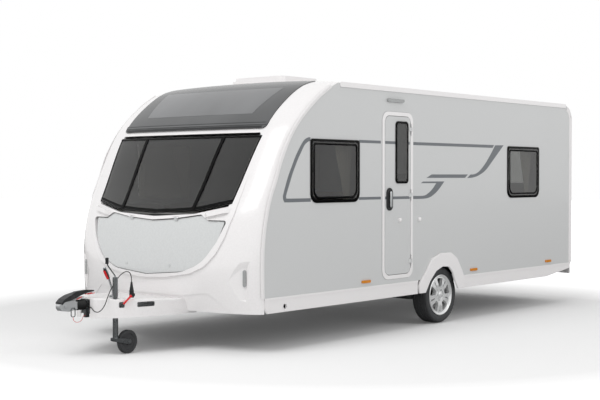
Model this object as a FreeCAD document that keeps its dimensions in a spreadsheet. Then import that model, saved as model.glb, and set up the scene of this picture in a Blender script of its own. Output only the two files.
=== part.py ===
import FreeCAD, Part
import math
import os
from FreeCAD import Placement, Vector

# Single-axle travel caravan, in millimetres.
# Lengths run along X (forward is +X), widths along Y (+Y is the door side), heights along Z from the ground.
# Every piece is drawn with x = 0 over the axle line and then moved by axle_x, so that the part's own
# origin lies on the ground under the middle of its overall length.

os.makedirs("parts", exist_ok=True)
doc = FreeCAD.newDocument("Caravan")

# Driving dimensions
SIZES = {
    "axle_x": -644,
    "half_width": 1205,
    "wall_thick": 28,
    "shell_thick": 25,
    "front_thick": 47,
    "panel_step": 20,
    "eaves": 2475,
    "roof_crown": 45,
    "roof_front": 1880,
    "roof_rear": -2700,
    "skirt_foot": 355,
    "skirt_deep": 120,
    "lip_deep": 20,
    "skirt_thick": 14,
    "floor_thick": 43,
    "seam": 0.3,
    "gap": 5,
    "wheel_x": 28,
    "tyre_radius": 302,
    "tyre_width": 185,
    "tyre_inset": 40,
    "rim_radius": 216,
    "stub_radius": 17,
    "drum_radius": 125,
    "drum_width": 60,
    "arch_gap": 60,
    "arch_proud": 20,
    "window_width": 750,
    "window_height": 600,
    "window_foot": 1333,
    "pane_thick": 7,
    "pane_overlap": 20,
    "door_rear": 632,
    "door_width": 536,
    "door_height": 1695,
    "door_rim": 40,
    "door_round": 95,
    "door_proud": 4,
    "hinge_out": 17,
    "barrel": 8,
    "pin": 3.5,
    "rail_half_gauge": 650,
    "rail_flange": 50,
    "rail_gauge": 4,
    "rail_deep": 157,
    "axle_lead": 165,
    "axle_flats": 88,
    "drawbar_foot": 362,
    "drawbar_deep": 96,
    "drawbar_tip": 3930,
    "tube_z": 449,
    "tube_radius": 25,
    "ball_x": 4220,
    "ball_bore": 25.2,
    "head_half": 38,
    "jockey_x": 3810,
    "jockey_y": 218,
    "jockey_wheel": 105,
    "jockey_trail": 136,
    "jockey_tube": 24,
    "jockey_top": 690,
    "steady_in": 555,
    "steady_front": 2620,
    "steady_rear": -2590,
    "steady_drop": 56,
    "cable": 8,
    "red_cord": 4,
}

sheet = doc.addObject("Spreadsheet::Sheet", "Sizes")
for row, (name, value) in enumerate(SIZES.items(), start=1):
    sheet.set("A%d" % row, name)
    sheet.set("B%d" % row, str(value))
    sheet.setAlias("B%d" % row, name)
doc.recompute()


def size(name):
    return float(sheet.get(name))


# Levels and widths that follow from the driving dimensions
half_width = size("half_width")
inner_width = half_width - size("wall_thick")
eaves = size("eaves")
crown = size("roof_crown")
roof_front = size("roof_front")
roof_rear = size("roof_rear")
seam = size("seam")
gap = size("gap")
skirt_foot = size("skirt_foot")
skirt_top = skirt_foot + size("skirt_deep")
wall_foot = skirt_top + size("lip_deep")
floor_foot = wall_foot + 3
floor_top = floor_foot + size("floor_thick")
shell_thick = size("shell_thick")
wheel_x = size("wheel_x")
wheel_r = size("tyre_radius")
tyre_face = half_width - size("tyre_inset")
tyre_back = tyre_face - size("tyre_width")
arch_radius = wheel_r + size("arch_gap")
box_in = tyre_back - 75
door_foot = floor_top
pieces = []


# Helpers that draw outlines
def line(a, b):
    return Part.LineSegment(Vector(a[0], a[1], 0), Vector(b[0], b[1], 0))


def rounded(points, radius=0):
    """A closed outline through the points with each corner rounded by the radius."""
    starts, ends, arcs = [], [], []
    count = len(points)
    for i in range(count):
        corner = Vector(*points[i], 0)
        back = (Vector(*points[i - 1], 0) - corner).normalize()
        ahead = (Vector(*points[(i + 1) % count], 0) - corner).normalize()
        r = radius[i] if isinstance(radius, (list, tuple)) else radius
        half = back.getAngle(ahead) / 2
        cut = r / math.tan(half)
        first = corner + back * cut
        last = corner + ahead * cut
        if r > 0:
            middle = corner + (back + ahead).normalize() * (r / math.sin(half) - r)
            arcs.append(Part.Arc(first, middle, last))
        starts.append(first)
        ends.append(last)
    sides = [Part.LineSegment(ends[i], starts[(i + 1) % count]) for i in range(count)]
    return sides + arcs


def rectangle(x0, z0, x1, z1, radius=0):
    return rounded([(x0, z0), (x1, z0), (x1, z1), (x0, z1)], radius)


def circle(x, z, radius):
    return [Part.Circle(Vector(x, z, 0), Vector(0, 0, 1), radius)]


# Helpers that make document objects
def settle(obj, label, at=("0", "0", "0")):
    """Give the object its own label and its place, the axle line moved to axle_x."""
    obj.Label = label
    obj.setExpression("Placement.Base.x", "Sizes.axle_x + " + at[0])
    obj.setExpression("Placement.Base.y", at[1])
    obj.setExpression("Placement.Base.z", at[2])
    pieces.append(obj)
    return obj


def plane_of(body, role):
    return [f for f in body.Origin.OriginFeatures if f.Role == role][0]


def sketch_on(body, role, loops, at=0):
    """A sketch on one of the body's origin planes, moved along the plane's normal."""
    sketch = body.newObject("Sketcher::SketchObject", body.Name + "_sketch")
    sketch.AttachmentSupport = [(plane_of(body, role), "")]
    sketch.MapMode = "FlatFace"
    sketch.setExpression("AttachmentOffset.Base.z", str(at))
    for loop in loops:
        sketch.addGeometry(loop, False)
    return sketch


def body_of(label, at=("0", "0", "0")):
    return settle(doc.addObject("PartDesign::Body", label), label, at)


def pad(body, role, loops, at, length):
    """Pad loops from a plane; places and lengths are numbers or formulas of the sheet's names."""
    feature = body.newObject("PartDesign::Pad", body.Name + "_pad")
    feature.Profile = sketch_on(body, role, loops, at)
    feature.setExpression("Length", str(length))
    doc.recompute()
    return feature


def pocket(body, role, loops, at, length):
    """Cut to both sides of the sketch, half the length each way."""
    feature = body.newObject("PartDesign::Pocket", body.Name + "_pocket")
    feature.Profile = sketch_on(body, role, loops, at)
    feature.Midplane = True
    feature.setExpression("Length", str(length))
    doc.recompute()
    return feature


def prism(label, role, loops, at, length, place=("0", "0", "0")):
    body = body_of(label, place)
    pad(body, role, loops, at, length)
    return body


def turned(label, profile, place):
    """Turn a profile of (radius, y) points round the piece's own Y axis."""
    body = body_of(label, place)
    feature = body.newObject("PartDesign::Revolution", body.Name + "_turn")
    sketch = sketch_on(body, "XY_Plane", [profile])
    feature.Profile = sketch
    feature.ReferenceAxis = (sketch, ["V_Axis"])
    feature.Angle = 360
    doc.recompute()
    return body


def repeat(body, cut, count):
    """Repeat a cut round the piece's own Y axis."""
    pattern = body.newObject("PartDesign::PolarPattern", body.Name + "_pattern")
    pattern.Originals = [cut]
    pattern.Axis = (plane_of(body, "Y_Axis"), [""])
    pattern.Angle = 360
    pattern.Occurrences = count
    body.Tip = pattern
    doc.recompute()
    return pattern


def shape_piece(label, shape):
    """A piece whose form has no PartDesign feature: its shape is made with Part's functions."""
    obj = doc.addObject("Part::Feature", label)
    place = shape.Placement.toMatrix()
    shape.Placement = Placement()
    obj.Shape = shape.transformed(place, True)
    return settle(obj, label)


# Helpers that make shapes
def rod(points, radius):
    """A round bar along straight runs joined by balls of the same radius."""
    shapes = []
    for a, b in zip(points, points[1:]):
        a, b = Vector(*a), Vector(*b)
        shapes.append(Part.makeCylinder(radius, a.distanceToPoint(b), a, b - a))
    for p in points[1:-1]:
        shapes.append(Part.makeSphere(radius, Vector(*p)))
    return shapes[0].multiFuse(shapes[1:]).removeSplitter() if len(shapes) > 1 else shapes[0]


def drum(x, y, z, radius, length, along=Vector(0, 1, 0)):
    """A cylinder with its middle at the point."""
    start = Vector(x, y, z) - along * (length / 2)
    return Part.makeCylinder(radius, length, start, along)


def box(x0, x1, y0, y1, z0, z1):
    return Part.makeBox(x1 - x0, y1 - y0, z1 - z0, Vector(x0, y0, z0))


def mirrored(shape):
    return shape.mirror(Vector(0, 0, 0), Vector(0, 1, 0))


def loop_face(loop, frame):
    """A face from an outline, placed by the frame (origin, across, up)."""
    origin, across, up = frame
    out = across.cross(up)
    matrix = FreeCAD.Matrix(across.x, up.x, out.x, origin.x, across.y, up.y, out.y, origin.y,
                            across.z, up.z, out.z, origin.z, 0, 0, 0, 1)
    wire = Part.Wire(Part.__sortEdges__([geometry.toShape() for geometry in loop]))
    wire.Placement = Placement(matrix)
    return Part.Face(wire)


def slab(loop, frame, depth):
    """The outline made solid to one side of its frame: +depth along across x up."""
    face = loop_face(loop, frame)
    return face.extrude(frame[1].cross(frame[2]) * depth)


ACROSS = Vector(0, 1, 0)
UPWARD = Vector(0, 0, 1)
FORWARD = Vector(1, 0, 0)
SIDE_SEEN = Vector(-1, 0, 0)


def ahead(points, radius, start, depth):
    """A prism along X from x = start, its outline drawn as (y, z)."""
    return slab(rounded(points, radius), (Vector(start, 0, 0), ACROSS, UPWARD), depth)


def upright(points, radius, y, depth):
    """A prism along +Y from y, its outline drawn as (x, z)."""
    return slab(rounded([(-x, z) for x, z in points], radius), (Vector(0, y, 0), SIDE_SEEN, UPWARD), depth)


def flat(points, radius, z, depth):
    """A prism upwards from the height z, its outline drawn as (x, y)."""
    return slab(rounded(points, radius), (Vector(0, 0, z), FORWARD, ACROSS), depth)


# The bowed ends
# Each curve point is (distance beyond the roof's end, share of the height from the skirt's foot to the
# eaves).
body_height = eaves - skirt_foot
crown_share = 1 + crown / body_height
FRONT = {
    "roof": roof_front,
    "way": 1,
    "fuller": 3,
    "seam": [(1058, 0), (1063, 0.1156), (1063, 0.2358), (1018, 0.3958), (885, 0.5632), (630, 0.783),
             (433, 0.8726), (275, 0.9288), (93, 0.9807), (0, 1)],
    "centre": [(1320, 0), (1370, 0.1156), (1365, 0.2099), (1285, 0.3892), (1110, 0.5401), (820, 0.7854),
               (590, 0.8986), (390, 0.9646), (180, 1.0061), (0, crown_share)],
    "knots": [0, 0.12, 0.24, 0.4, 0.56, 0.72, 0.82, 0.89, 0.96, 1],
}
REAR = {
    "roof": roof_rear,
    "way": -1,
    "fuller": 2,
    "seam": [(160, 0), (160, 0.2571), (160, 0.5873), (158, 0.8703), (135, 0.9458), (80, 0.9863), (0, 1)],
    "centre": [(245, 0), (266, 0.2571), (266, 0.5873), (245, 0.8703), (205, 0.9599), (120, 1.0047),
               (0, crown_share)],
    "knots": [0, 0.25, 0.5, 0.75, 0.85, 0.93, 1],
}
rear_wall = roof_rear - REAR["seam"][0][0]


def high(share):
    """The height of a share of the body's height."""
    return skirt_foot + share * body_height


def curve_points(end, which):
    return [(end["roof"] + end["way"] * out, high(share)) for out, share in end[which]]


def through(points, knots, drawn=False):
    """The curve through the points, in the plane y = 0, or drawn flat for a sketch."""
    spots = [Vector(a, b, 0) if drawn else Vector(a, 0, b) for a, b in points]
    spline = Part.BSplineCurve()
    spline.interpolate(Points=spots, Parameters=knots)
    return spline


def moved_out(end, offsets):
    """The centre curve's points moved square to it, away from the cabin where the offset is positive."""
    points = curve_points(end, "centre")
    spline = through(points, end["knots"])
    out = []
    for (x, z), knot, offset in zip(points, end["knots"], offsets):
        along = spline.tangent(knot)[0]
        out.append((x + along.z * offset * end["way"], z - along.x * offset * end["way"]))
    out[0] = (out[0][0], points[0][1])
    out[-1] = (points[-1][0], out[-1][1])
    return out


def bowed_face(end, offset, half=None):
    """Half an oval in plan at each height: from the seam on one side, over the centre, to the other.

    Each row is a rational quadratic whose corner weight is sqrt(1/2), an ellipse, plus
    fuller * s^2 * (1 - s), where s is the row's share of the way up. The offset is one distance, or one for
    each point of the curve.
    """
    offsets = offset if isinstance(offset, list) else [offset] * len(end["knots"])
    side = through(curve_points(end, "seam"), end["knots"])
    middle = through(moved_out(end, offsets), end["knots"])
    half = half_width + offsets[-1] if half is None else half
    rows, weights = [], []
    poles = list(zip(side.getPoles(), middle.getPoles()))
    for row, (s, c) in enumerate(poles):
        rows.append([Vector(s.x, -half, s.z), Vector(c.x, -half, c.z), Vector(c.x, 0, c.z),
                     Vector(c.x, half, c.z), Vector(s.x, half, s.z)])
        share = row / (len(poles) - 1)
        corner = math.sqrt(0.5) + end["fuller"] * share ** 2 * (1 - share)
        weights.append([1, corner, 1, corner, 1])
    surface = Part.BSplineSurface()
    surface.buildFromPolesMultsKnots(rows, side.getMultiplicities(), [3, 2, 3], side.getKnots(),
                                     [0, 0.5, 1], False, False, side.Degree, 2, weights)
    return surface.toShape()


def between(outside, inside):
    """The solid between two bowed faces, closed along its four rims."""
    rims = []
    for a in outside.Edges:
        b = min(inside.Edges, key=lambda e: e.CenterOfMass.distanceToPoint(a.CenterOfMass))
        rims.append(Part.makeRuledSurface(a, b))
    shell = Part.makeShell([outside, inside] + rims)
    shell.sewShape()
    solid = Part.makeSolid(shell)
    if solid.Volume < 0:
        solid.reverse()
    return solid


def layer(end, outer, inner):
    return between(bowed_face(end, outer), bowed_face(end, inner))


def spot(face, y, z):
    """The point of a bowed face at the given y and z."""
    side = FORWARD if face.CenterOfMass.x > 0 else FORWARD * -1
    probe = Part.makeLine(Vector(0, y, z), Vector(0, y, z) + side * 9000)
    return probe.distToShape(face)[1][0][0]


def both_sides(half):
    """A closed outline, the same on both sides, from its points with y of 0 or more."""
    return half + [(-y, z) for y, z in reversed(half) if y > 0]


def drawn(half):
    """An outline given as (share of the half width, share of the height) in (y, z)."""
    return [(half_width * y, high(z)) for y, z in half]


def grown(half, distance):
    """The half outline moved outwards from the middle of its height."""
    middle = (half[0][1] + half[-1][1]) / 2
    out = []
    for y, z in half:
        out.append((y + distance if y > 0 else 0, z + math.copysign(distance, z - middle)))
    return out


# Side walls
KITCHEN_WINDOW = {"middle": -420, "wide": 620, "foot": 1420, "tall": 480, "round": 40}
SIDE_WINDOWS = {"front": 1923, "rear": -1665}
WINDOW_ROUND = (90, 90, 30, 30)
SERVICE_DOORS = {
    "toilet_door": {"rear": -2350, "foot": 620, "wide": 330, "tall": 380},
    "battery_door": {"rear": 1600, "foot": 600, "wide": 420, "tall": 300},
}
SIDE_AT = {"left": "-Sizes.half_width", "right": "Sizes.half_width - Sizes.wall_thick"}
SERVICE_AXIS = half_width + 7
SERVICE_BARREL = 6
SERVICE_PIN = 2.5
SERVICE_HALF, SERVICE_ARM = 30, 16
SERVICE_ROUND = 20


def window_loop(middle, grow=0):
    wide = size("window_width") / 2 + grow
    low = size("window_foot") - grow
    high_edge = size("window_foot") + size("window_height") + grow
    corners = [(middle - wide, low), (middle + wide, low), (middle + wide, high_edge),
               (middle - wide, high_edge)]
    return rounded(corners, [radius + grow for radius in WINDOW_ROUND])


def kitchen_loop(grow=0):
    w = KITCHEN_WINDOW
    half = w["wide"] / 2 + grow
    head = w["foot"] + w["tall"] + grow
    return rectangle(w["middle"] - half, w["foot"] - grow, w["middle"] + half, head, w["round"] + grow)


def door_loop(inset):
    rear = size("door_rear")
    return rectangle(rear + inset, door_foot + inset, rear + size("door_width") - inset,
                     door_foot + size("door_height") - inset, size("door_round") - inset / 2)


def service_loop(door, inset):
    return rectangle(door["rear"] + inset, door["foot"] + inset, door["rear"] + door["wide"] - inset,
                     door["foot"] + door["tall"] - inset, SERVICE_ROUND)


def service_hinges(door):
    """Where a service door's two hinges lie along its top edge, and their height."""
    spots = [door["rear"] + door["wide"] * share for share in (0.25, 0.75)]
    return spots, door["foot"] + door["tall"]


def side_outline():
    """The wall's outline: the front and rear seams, joined along the eaves and the foot."""
    front = curve_points(FRONT, "seam")
    rear = curve_points(REAR, "seam")
    return [through(front, FRONT["knots"], True), line(front[-1], rear[-1]),
            through(rear, REAR["knots"], True), line(rear[0], front[0])]


def side_wall(side):
    wall = prism("side_wall_" + side, "XZ_Plane", [side_outline()], SIDE_AT[side], "Sizes.wall_thick")
    below = roof_front * 3
    cuts = [rectangle(-below, 0, below, wall_foot), circle(wheel_x, wheel_r, arch_radius)]
    cuts += [window_loop(middle, -size("pane_overlap")) for middle in SIDE_WINDOWS.values()]
    if side == "left":
        cuts.append(door_loop(size("door_rim") / 2))
    else:
        cuts.append(kitchen_loop(-size("pane_overlap")))
        cuts += [service_loop(door, 0) for door in SERVICE_DOORS.values()]
    for cut in cuts:
        pocket(wall, "XZ_Plane", [cut], SIDE_AT[side], "4 * Sizes.wall_thick")
    if side == "right":
        for door in SERVICE_DOORS.values():
            spots, top = service_hinges(door)
            for x in spots:
                arm = rectangle(-SERVICE_AXIS - 3, top, 1 - half_width, top + 14)
                for start in (x - SERVICE_HALF, x + SERVICE_HALF - SERVICE_ARM):
                    pad(wall, "YZ_Plane", [circle(-SERVICE_AXIS, top, SERVICE_BARREL)], start, SERVICE_ARM)
                    pad(wall, "YZ_Plane", [arm], start, SERVICE_ARM)
                pin_loop = circle(-SERVICE_AXIS, top, SERVICE_PIN)
                pad(wall, "YZ_Plane", [pin_loop], x - SERVICE_HALF, 2 * SERVICE_HALF)
    return wall


for side in ("left", "right"):
    side_wall(side)

# Outlines on the bowed front, as (share of the half width, share of the height)
WINDOW_HALF = [(0, 0.4151), (0.4398, 0.4278), (0.7469, 0.4623), (0.7967, 0.7571)]
LID_HALF = [(0, 0.1495), (0.3734, 0.1675), (0.5685, 0.2099), (0.6846, 0.2995), (0.751, 0.392),
            (0.5726, 0.392),
            (0.4979, 0.4156), (0.2739, 0.3986), (0, 0.3882)]
LID_ROUND = [0, 350, 350, 250, 25, 20, 30, 60, 0]
LID_CORNER = 4
LID_EASE = 30
BORDER_HALF = [(0, 0.1368), (0.2158, 0.1415), (0.4647, 0.1651), (0.5892, 0.1958), (0.6846, 0.2524),
               (0.7469, 0.3208),
               (0.7925, 0.4198), (0.8008, 0.5212), (0.8008, 0.5873)]
BORDER_ROUND = [0, 200, 200, 200, 200, 200, 200, 0, 0]
APRON_HALF = [(0, 0.0665), (0.3452, 0.0665), (0.6025, 0.0825), (0.82, -0.01), (0, -0.01)]
SKY_FOOT = 0.7887
SKY_HALF = 0.7967
SKY_START = 45
SKY_ROUND = [40, 40, 0, 0]
WINDOW_CORNER = 12
PANE_LAND = 25
PANE_PLAY = 3
LOWER_POINTS = 4


def ramp(low, top):
    """Offsets for the front's points: low up to the lid's top edge, then fading to the top value."""
    return [low] * LOWER_POINTS + [low + (top - low) * 0.75] + [top] * (len(FRONT["knots"]) - LOWER_POINTS
                                                                        - 1)


front_depth = roof_front * 2
step = size("panel_step")
front_inner = ramp(-size("front_thick"), -shell_thick)
panel_level = ramp(-step, 0)


def window_prism(grow):
    return ahead(both_sides(grown(drawn(WINDOW_HALF), grow)), WINDOW_CORNER, roof_front, front_depth)


def lid_prism(inset=0, drop=0, ease=0):
    """The lid's outline: narrower all round by the inset, its top edge lowered by the drop, and the corners
    of that edge drawn in by the ease."""
    half = drawn(LID_HALF)
    half[LID_CORNER] = (half[LID_CORNER][0] - ease, half[LID_CORNER][1])
    outline = rounded(both_sides(half), LID_ROUND + LID_ROUND[-2:0:-1])
    face = loop_face(outline, (Vector(roof_front, 0, 0), ACROSS, UPWARD))
    if inset == 0:
        return face.extrude(FORWARD * front_depth)
    narrow = Part.Face(face.OuterWire.makeOffset2D(-inset)).extrude(FORWARD * front_depth)
    return narrow.common(face.translated(UPWARD * -drop).extrude(FORWARD * front_depth))


def skylight_prism(grow):
    wide = half_width * SKY_HALF + grow
    foot, head = high(SKY_FOOT) - grow, eaves + 2 * crown
    outline = [(-wide, foot), (wide, foot), (wide, head), (-wide, head)]
    return ahead(outline, SKY_ROUND, roof_front + SKY_START - grow, front_depth)


def border_prism():
    return ahead(both_sides(drawn(BORDER_HALF)), BORDER_ROUND + BORDER_ROUND[:0:-1], roof_front, front_depth)


front_face = bowed_face(FRONT, 0)
panel_face = bowed_face(FRONT, panel_level, half_width)
inner_face = bowed_face(FRONT, front_inner, half_width - shell_thick)
clear_face = bowed_face(FRONT, 2 * step)

# Pockets for the front position lamps in the lower corners, in a plane turned outwards
CHEEK_TURN = math.radians(30)
CHEEK_AT = (0.9046, 0.1297)
CHEEK_OUTER = [(-45, 186), (49, 193), (34, -190), (-47, -200), (-251, -17)]
CHEEK_FLOOR = [(-34, 132), (18, 137), (8, -146), (-38, -151), (-198, -19)]
LAMP_HALF = (15, 75)
LAMP_RISE = 45
LAMP_PROUD = 14
POD_SKIN = 6


def cheek_frame(depth):
    """The pocket's plane, moved out of the panel by the depth."""
    out = Vector(math.cos(CHEEK_TURN), math.sin(CHEEK_TURN), 0)
    across = Vector(-out.y, out.x, 0)
    return spot(panel_face, half_width * CHEEK_AT[0], high(CHEEK_AT[1])) + out * depth, across, UPWARD


def cheek_loft(depth, spread):
    """A tapering block from above the panel down to its floor, its outlines moved out by the spread."""
    middle_v = sum(v for v, w in CHEEK_FLOOR) / len(CHEEK_FLOOR)
    wires = []
    for share, level in ((2, depth), (0, -depth)):
        loop = []
        for (v, w), (v0, w0) in zip(CHEEK_OUTER, CHEEK_FLOOR):
            v1, w1 = v0 + (v - v0) * share, w0 + (w - w0) * share
            loop.append((v1 + math.copysign(spread, v1 - middle_v), w1 + math.copysign(spread, w1)))
        wires.append(loop_face(rounded(loop), cheek_frame(level)).OuterWire)
    return Part.makeLoft(wires, True, True)


cheek_pocket = cheek_loft(step, 0)
cheek_pod = cheek_loft(step + POD_SKIN, POD_SKIN + 2).common(panel_face.extrude(FORWARD * -2 * half_width))
lamp_frame = cheek_frame(-step)
lamp_loop = rectangle(-LAMP_HALF[0], LAMP_RISE - LAMP_HALF[1], LAMP_HALF[0], LAMP_RISE + LAMP_HALF[1],
                      LAMP_HALF[0] - 1)
cheek_lamp = slab(lamp_loop, lamp_frame, LAMP_PROUD)

# Front panel: its face carries a border round the lid, standing out from the lower corners and the apron
NOTCH_HALF = 438
NOTCH_TOP = size("drawbar_foot") + size("drawbar_deep") + 4
pane_seat = 14
apron_step = step + 8
past_side = 1.2 * half_width
border_head = high(0.58)
low_loop = [(-past_side, 0), (past_side, 0), (past_side, border_head), (-past_side, border_head)]
low_region = ahead(low_loop, 0, roof_front, front_depth).cut(border_prism())
step_cut = between(clear_face, panel_face).common(low_region)
apron_face = bowed_face(FRONT, ramp(-apron_step, 0), half_width)
apron_prism = ahead(both_sides(drawn(APRON_HALF)), 0, roof_front, front_depth)
apron_cut = between(clear_face, apron_face).common(apron_prism)
seat_cut = between(clear_face, bowed_face(FRONT, -pane_seat))
front = between(front_face, inner_face)
front = front.fuse([cheek_pod, mirrored(cheek_pod)])
front = front.cut([step_cut, apron_cut, cheek_pocket, mirrored(cheek_pocket)])
front = front.cut([window_prism(-PANE_LAND), lid_prism(), skylight_prism(-PANE_LAND)])
front = front.cut([seat_cut.common(window_prism(PANE_PLAY)), seat_cut.common(skylight_prism(PANE_PLAY))])
front = front.cut(box(roof_front, roof_front * 2, -NOTCH_HALF, NOTCH_HALF, 0, NOTCH_TOP))

# Lid of the gas locker
# It is hinged along its top edge on two pairs of barrels that stand in the border's step.
# Its top corners lie behind the hinge line and swing down as it opens, so they are drawn in to clear the
# border.
LID_HINGES = (300, -300)
LID_BARREL = {"radius": 6, "long": 32, "arm": 20, "pin": 3}
arm_at = (LID_BARREL["long"] + LID_BARREL["arm"] + 1) / 2
LID_THICK = 25
LID_SUNK = step - 2
LOCKS = {"across": 0.2423, "up": 0.192, "radius": 13, "long": 12}
HINGE_Z = high(0.3991)
hinge_x = spot(front_face, LID_HINGES[0], HINGE_Z).x + 2
lid = layer(FRONT, -LID_SUNK, -LID_SUNK - LID_THICK).common(lid_prism(gap, gap + 4, LID_EASE))
for sign in (1, -1):
    lock = spot(bowed_face(FRONT, -LID_SUNK), sign * half_width * LOCKS["across"], high(LOCKS["up"]))
    lid = lid.fuse(drum(lock.x, lock.y, lock.z, LOCKS["radius"], LOCKS["long"], FORWARD))
for y in LID_HINGES:
    half_long, arm_half = LID_BARREL["long"] / 2, LID_BARREL["arm"] / 2
    leaf_side = [(hinge_x - 34, HINGE_Z - 34), (hinge_x - 4, HINGE_Z - 34), (hinge_x + 6, HINGE_Z),
                 (hinge_x - 3, HINGE_Z)]
    leaf = upright(leaf_side, 0, y - half_long, LID_BARREL["long"]).common(layer(FRONT, 12, -step))
    lid = lid.fuse([leaf, drum(hinge_x, y, HINGE_Z, LID_BARREL["radius"], LID_BARREL["long"])])
    lid = lid.cut(drum(hinge_x, y, HINGE_Z, LID_BARREL["pin"] + seam, LID_BARREL["long"] + 8))
    for dy in (-arm_at, arm_at):
        arm = box(hinge_x - 30, hinge_x + 1, y + dy - arm_half, y + dy + arm_half, HINGE_Z + 1, HINGE_Z + 14)
        front = front.fuse([arm, drum(hinge_x, y + dy, HINGE_Z, LID_BARREL["radius"], LID_BARREL["arm"])])
    recess = box(hinge_x - 60, hinge_x + 20, y - half_long - 0.5, y + half_long + 0.5, HINGE_Z - 30,
                 HINGE_Z + 8.5)
    front = front.cut(recess)
    front = front.fuse(drum(hinge_x, y, HINGE_Z, LID_BARREL["pin"], 2 * arm_at + LID_BARREL["arm"]))
shape_piece("front_shell", max(front.Solids, key=lambda solid: solid.Volume))
shape_piece("gas_locker_lid", lid)
print("lid hinge", round(hinge_x, 1), round(HINGE_Z, 1))

# Front window, its two strips, and the skylight with a ridged lip
STRIP_HALF = [(0.4066, 0.434), (0.392, 0.434), (0.4207, 0.7528), (0.4498, 0.7528)]
shape_piece("front_window", layer(FRONT, -2, -pane_seat + seam).common(window_prism(0)))
strips = []
for sign in (1, -1):
    loop = [(sign * y, z) for y, z in drawn(STRIP_HALF)]
    strips.append(layer(FRONT, 3, -2 + seam).common(ahead(loop, 0, roof_front, front_depth)))
shape_piece("window_strips", Part.makeCompound(strips))

LIP = {"tall": 62, "groove_foot": 27, "groove_head": 34, "proud": 16, "groove_proud": 11}
SKY_PROUD = 8


def level_band(low, top):
    """A block right across the front between two heights over the skylight's foot."""
    z0, z1 = high(SKY_FOOT) + low, high(SKY_FOOT) + top
    return ahead([(-half_width, z0), (half_width, z0), (half_width, z1), (-half_width, z1)], 0, roof_front,
                 front_depth)


skylight = layer(FRONT, SKY_PROUD, -pane_seat + seam).common(skylight_prism(0))
lip = layer(FRONT, LIP["proud"], 0).common(skylight_prism(0)).common(level_band(-high(SKY_FOOT),
                                                                                LIP["tall"]))
groove = layer(FRONT, 2 * LIP["proud"], LIP["groove_proud"])
lip = lip.cut(groove.common(level_band(LIP["groove_foot"], LIP["groove_head"])))
shape_piece("skylight", skylight.fuse(lip))


# Bridge handles, bent out of a flat bar, between two points of a face
def bridge(a, b, out, rise, tall, thick):
    """A handle from a to b, standing out by the rise, as tall as its bar."""
    run = b - a
    length = run.Length
    along = run.normalize()
    foot = 0.16 * length
    outer = [(0, 0), (foot, rise), (length - foot, rise), (length, 0)]
    inner = [(length - 1.6 * thick, 0), (length - foot - thick * 0.6, rise - thick),
             (foot + thick * 0.6, rise - thick),
             (1.6 * thick, 0)]
    radii = [0, rise * 0.4, rise * 0.4, 0, 0, rise * 0.2, rise * 0.2, 0]
    normal = along.cross(out).normalize()
    true_out = normal.cross(along)
    start = a - normal * (tall / 2)
    loop = rounded(outer + inner, radii)
    return slab(loop, (start, along, true_out), tall)


HANDLE_ENDS = [(0.535, 0.4085), (0.752, 0.4345)]
HANDLE_BAR = {"rise": 38, "tall": 40, "thick": 12}
handles = []
for sign in (1, -1):
    ends = [spot(front_face, sign * half_width * y, high(z)) for y, z in HANDLE_ENDS]
    if sign < 0:
        ends.reverse()
    lean = Vector(0.92, sign * 0.35, 0.2)
    handle = bridge(ends[0], ends[1], lean, HANDLE_BAR["rise"], HANDLE_BAR["tall"], HANDLE_BAR["thick"])
    handles.append(handle.cut(between(front_face, inner_face)))

# Rear panel with its moulded bumper and blank plate place
rear_face = bowed_face(REAR, 0)
REAR_WINDOW = {"half": 560, "foot": 1480, "tall": 450, "round": 60, "proud": 6}
BUMPER_SHARE = 0.118
BUMPER_PROUD = 30
PLATE_HALF = (262, 57)
PLATE_STEP = 6


def behind(points, radius, start, depth):
    """A prism along -X from x = start, its outline drawn as (y, z)."""
    return slab(rounded([(-y, z) for y, z in points], radius), (Vector(start, 0, 0), ACROSS * -1, UPWARD),
                depth)


def rear_prism(grow):
    wide, foot = REAR_WINDOW["half"] + grow, REAR_WINDOW["foot"] - grow
    head = foot + REAR_WINDOW["tall"] + 2 * grow
    loop = [(-wide, foot), (wide, foot), (wide, head), (-wide, head)]
    return behind(loop, REAR_WINDOW["round"] + grow, roof_rear, half_width)


bumper_top = high(BUMPER_SHARE)
bumper_wide = 0.9 * half_width
bumper_loop = [(-bumper_wide, 0), (bumper_wide, 0), (bumper_wide, bumper_top), (-bumper_wide, bumper_top)]
bumper = layer(REAR, BUMPER_PROUD, -shell_thick)
bumper = bumper.common(behind(bumper_loop, [0, 0, 60, 60], roof_rear, half_width))
plate_z = skirt_foot + 0.5 * (bumper_top - skirt_foot)
plate_loop = [(-PLATE_HALF[0], plate_z - PLATE_HALF[1]), (PLATE_HALF[0], plate_z - PLATE_HALF[1]),
              (PLATE_HALF[0], plate_z + PLATE_HALF[1]), (-PLATE_HALF[0], plate_z + PLATE_HALF[1])]
rear_x = spot(rear_face, 0, plate_z).x
rear = layer(REAR, 0, -shell_thick).fuse(bumper)
rear = rear.cut(behind(plate_loop, PLATE_STEP + 2, rear_x - BUMPER_PROUD + PLATE_STEP, half_width))
rear = rear.cut([rear_prism(-size("pane_overlap"))])
shape_piece("rear_shell", rear)
shape_piece("rear_window", layer(REAR, REAR_WINDOW["proud"], seam).common(rear_prism(0)))

REAR_HANDLES = {"across": 0.84, "foot": 0.31, "head": 0.43, "rise": 42, "wide": 34, "thick": 13}
for sign in (1, -1):
    y = sign * half_width * REAR_HANDLES["across"]
    ends = [spot(rear_face, y, high(REAR_HANDLES[end])) for end in ("foot", "head")]
    lean = Vector(-0.95, sign * 0.3, 0)
    handle = bridge(ends[0], ends[1], lean, REAR_HANDLES["rise"], REAR_HANDLES["wide"],
                    REAR_HANDLES["thick"])
    handles.append(handle.cut(layer(REAR, 0, -shell_thick)))
shape_piece("grab_handles", Part.makeCompound(handles))

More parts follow.
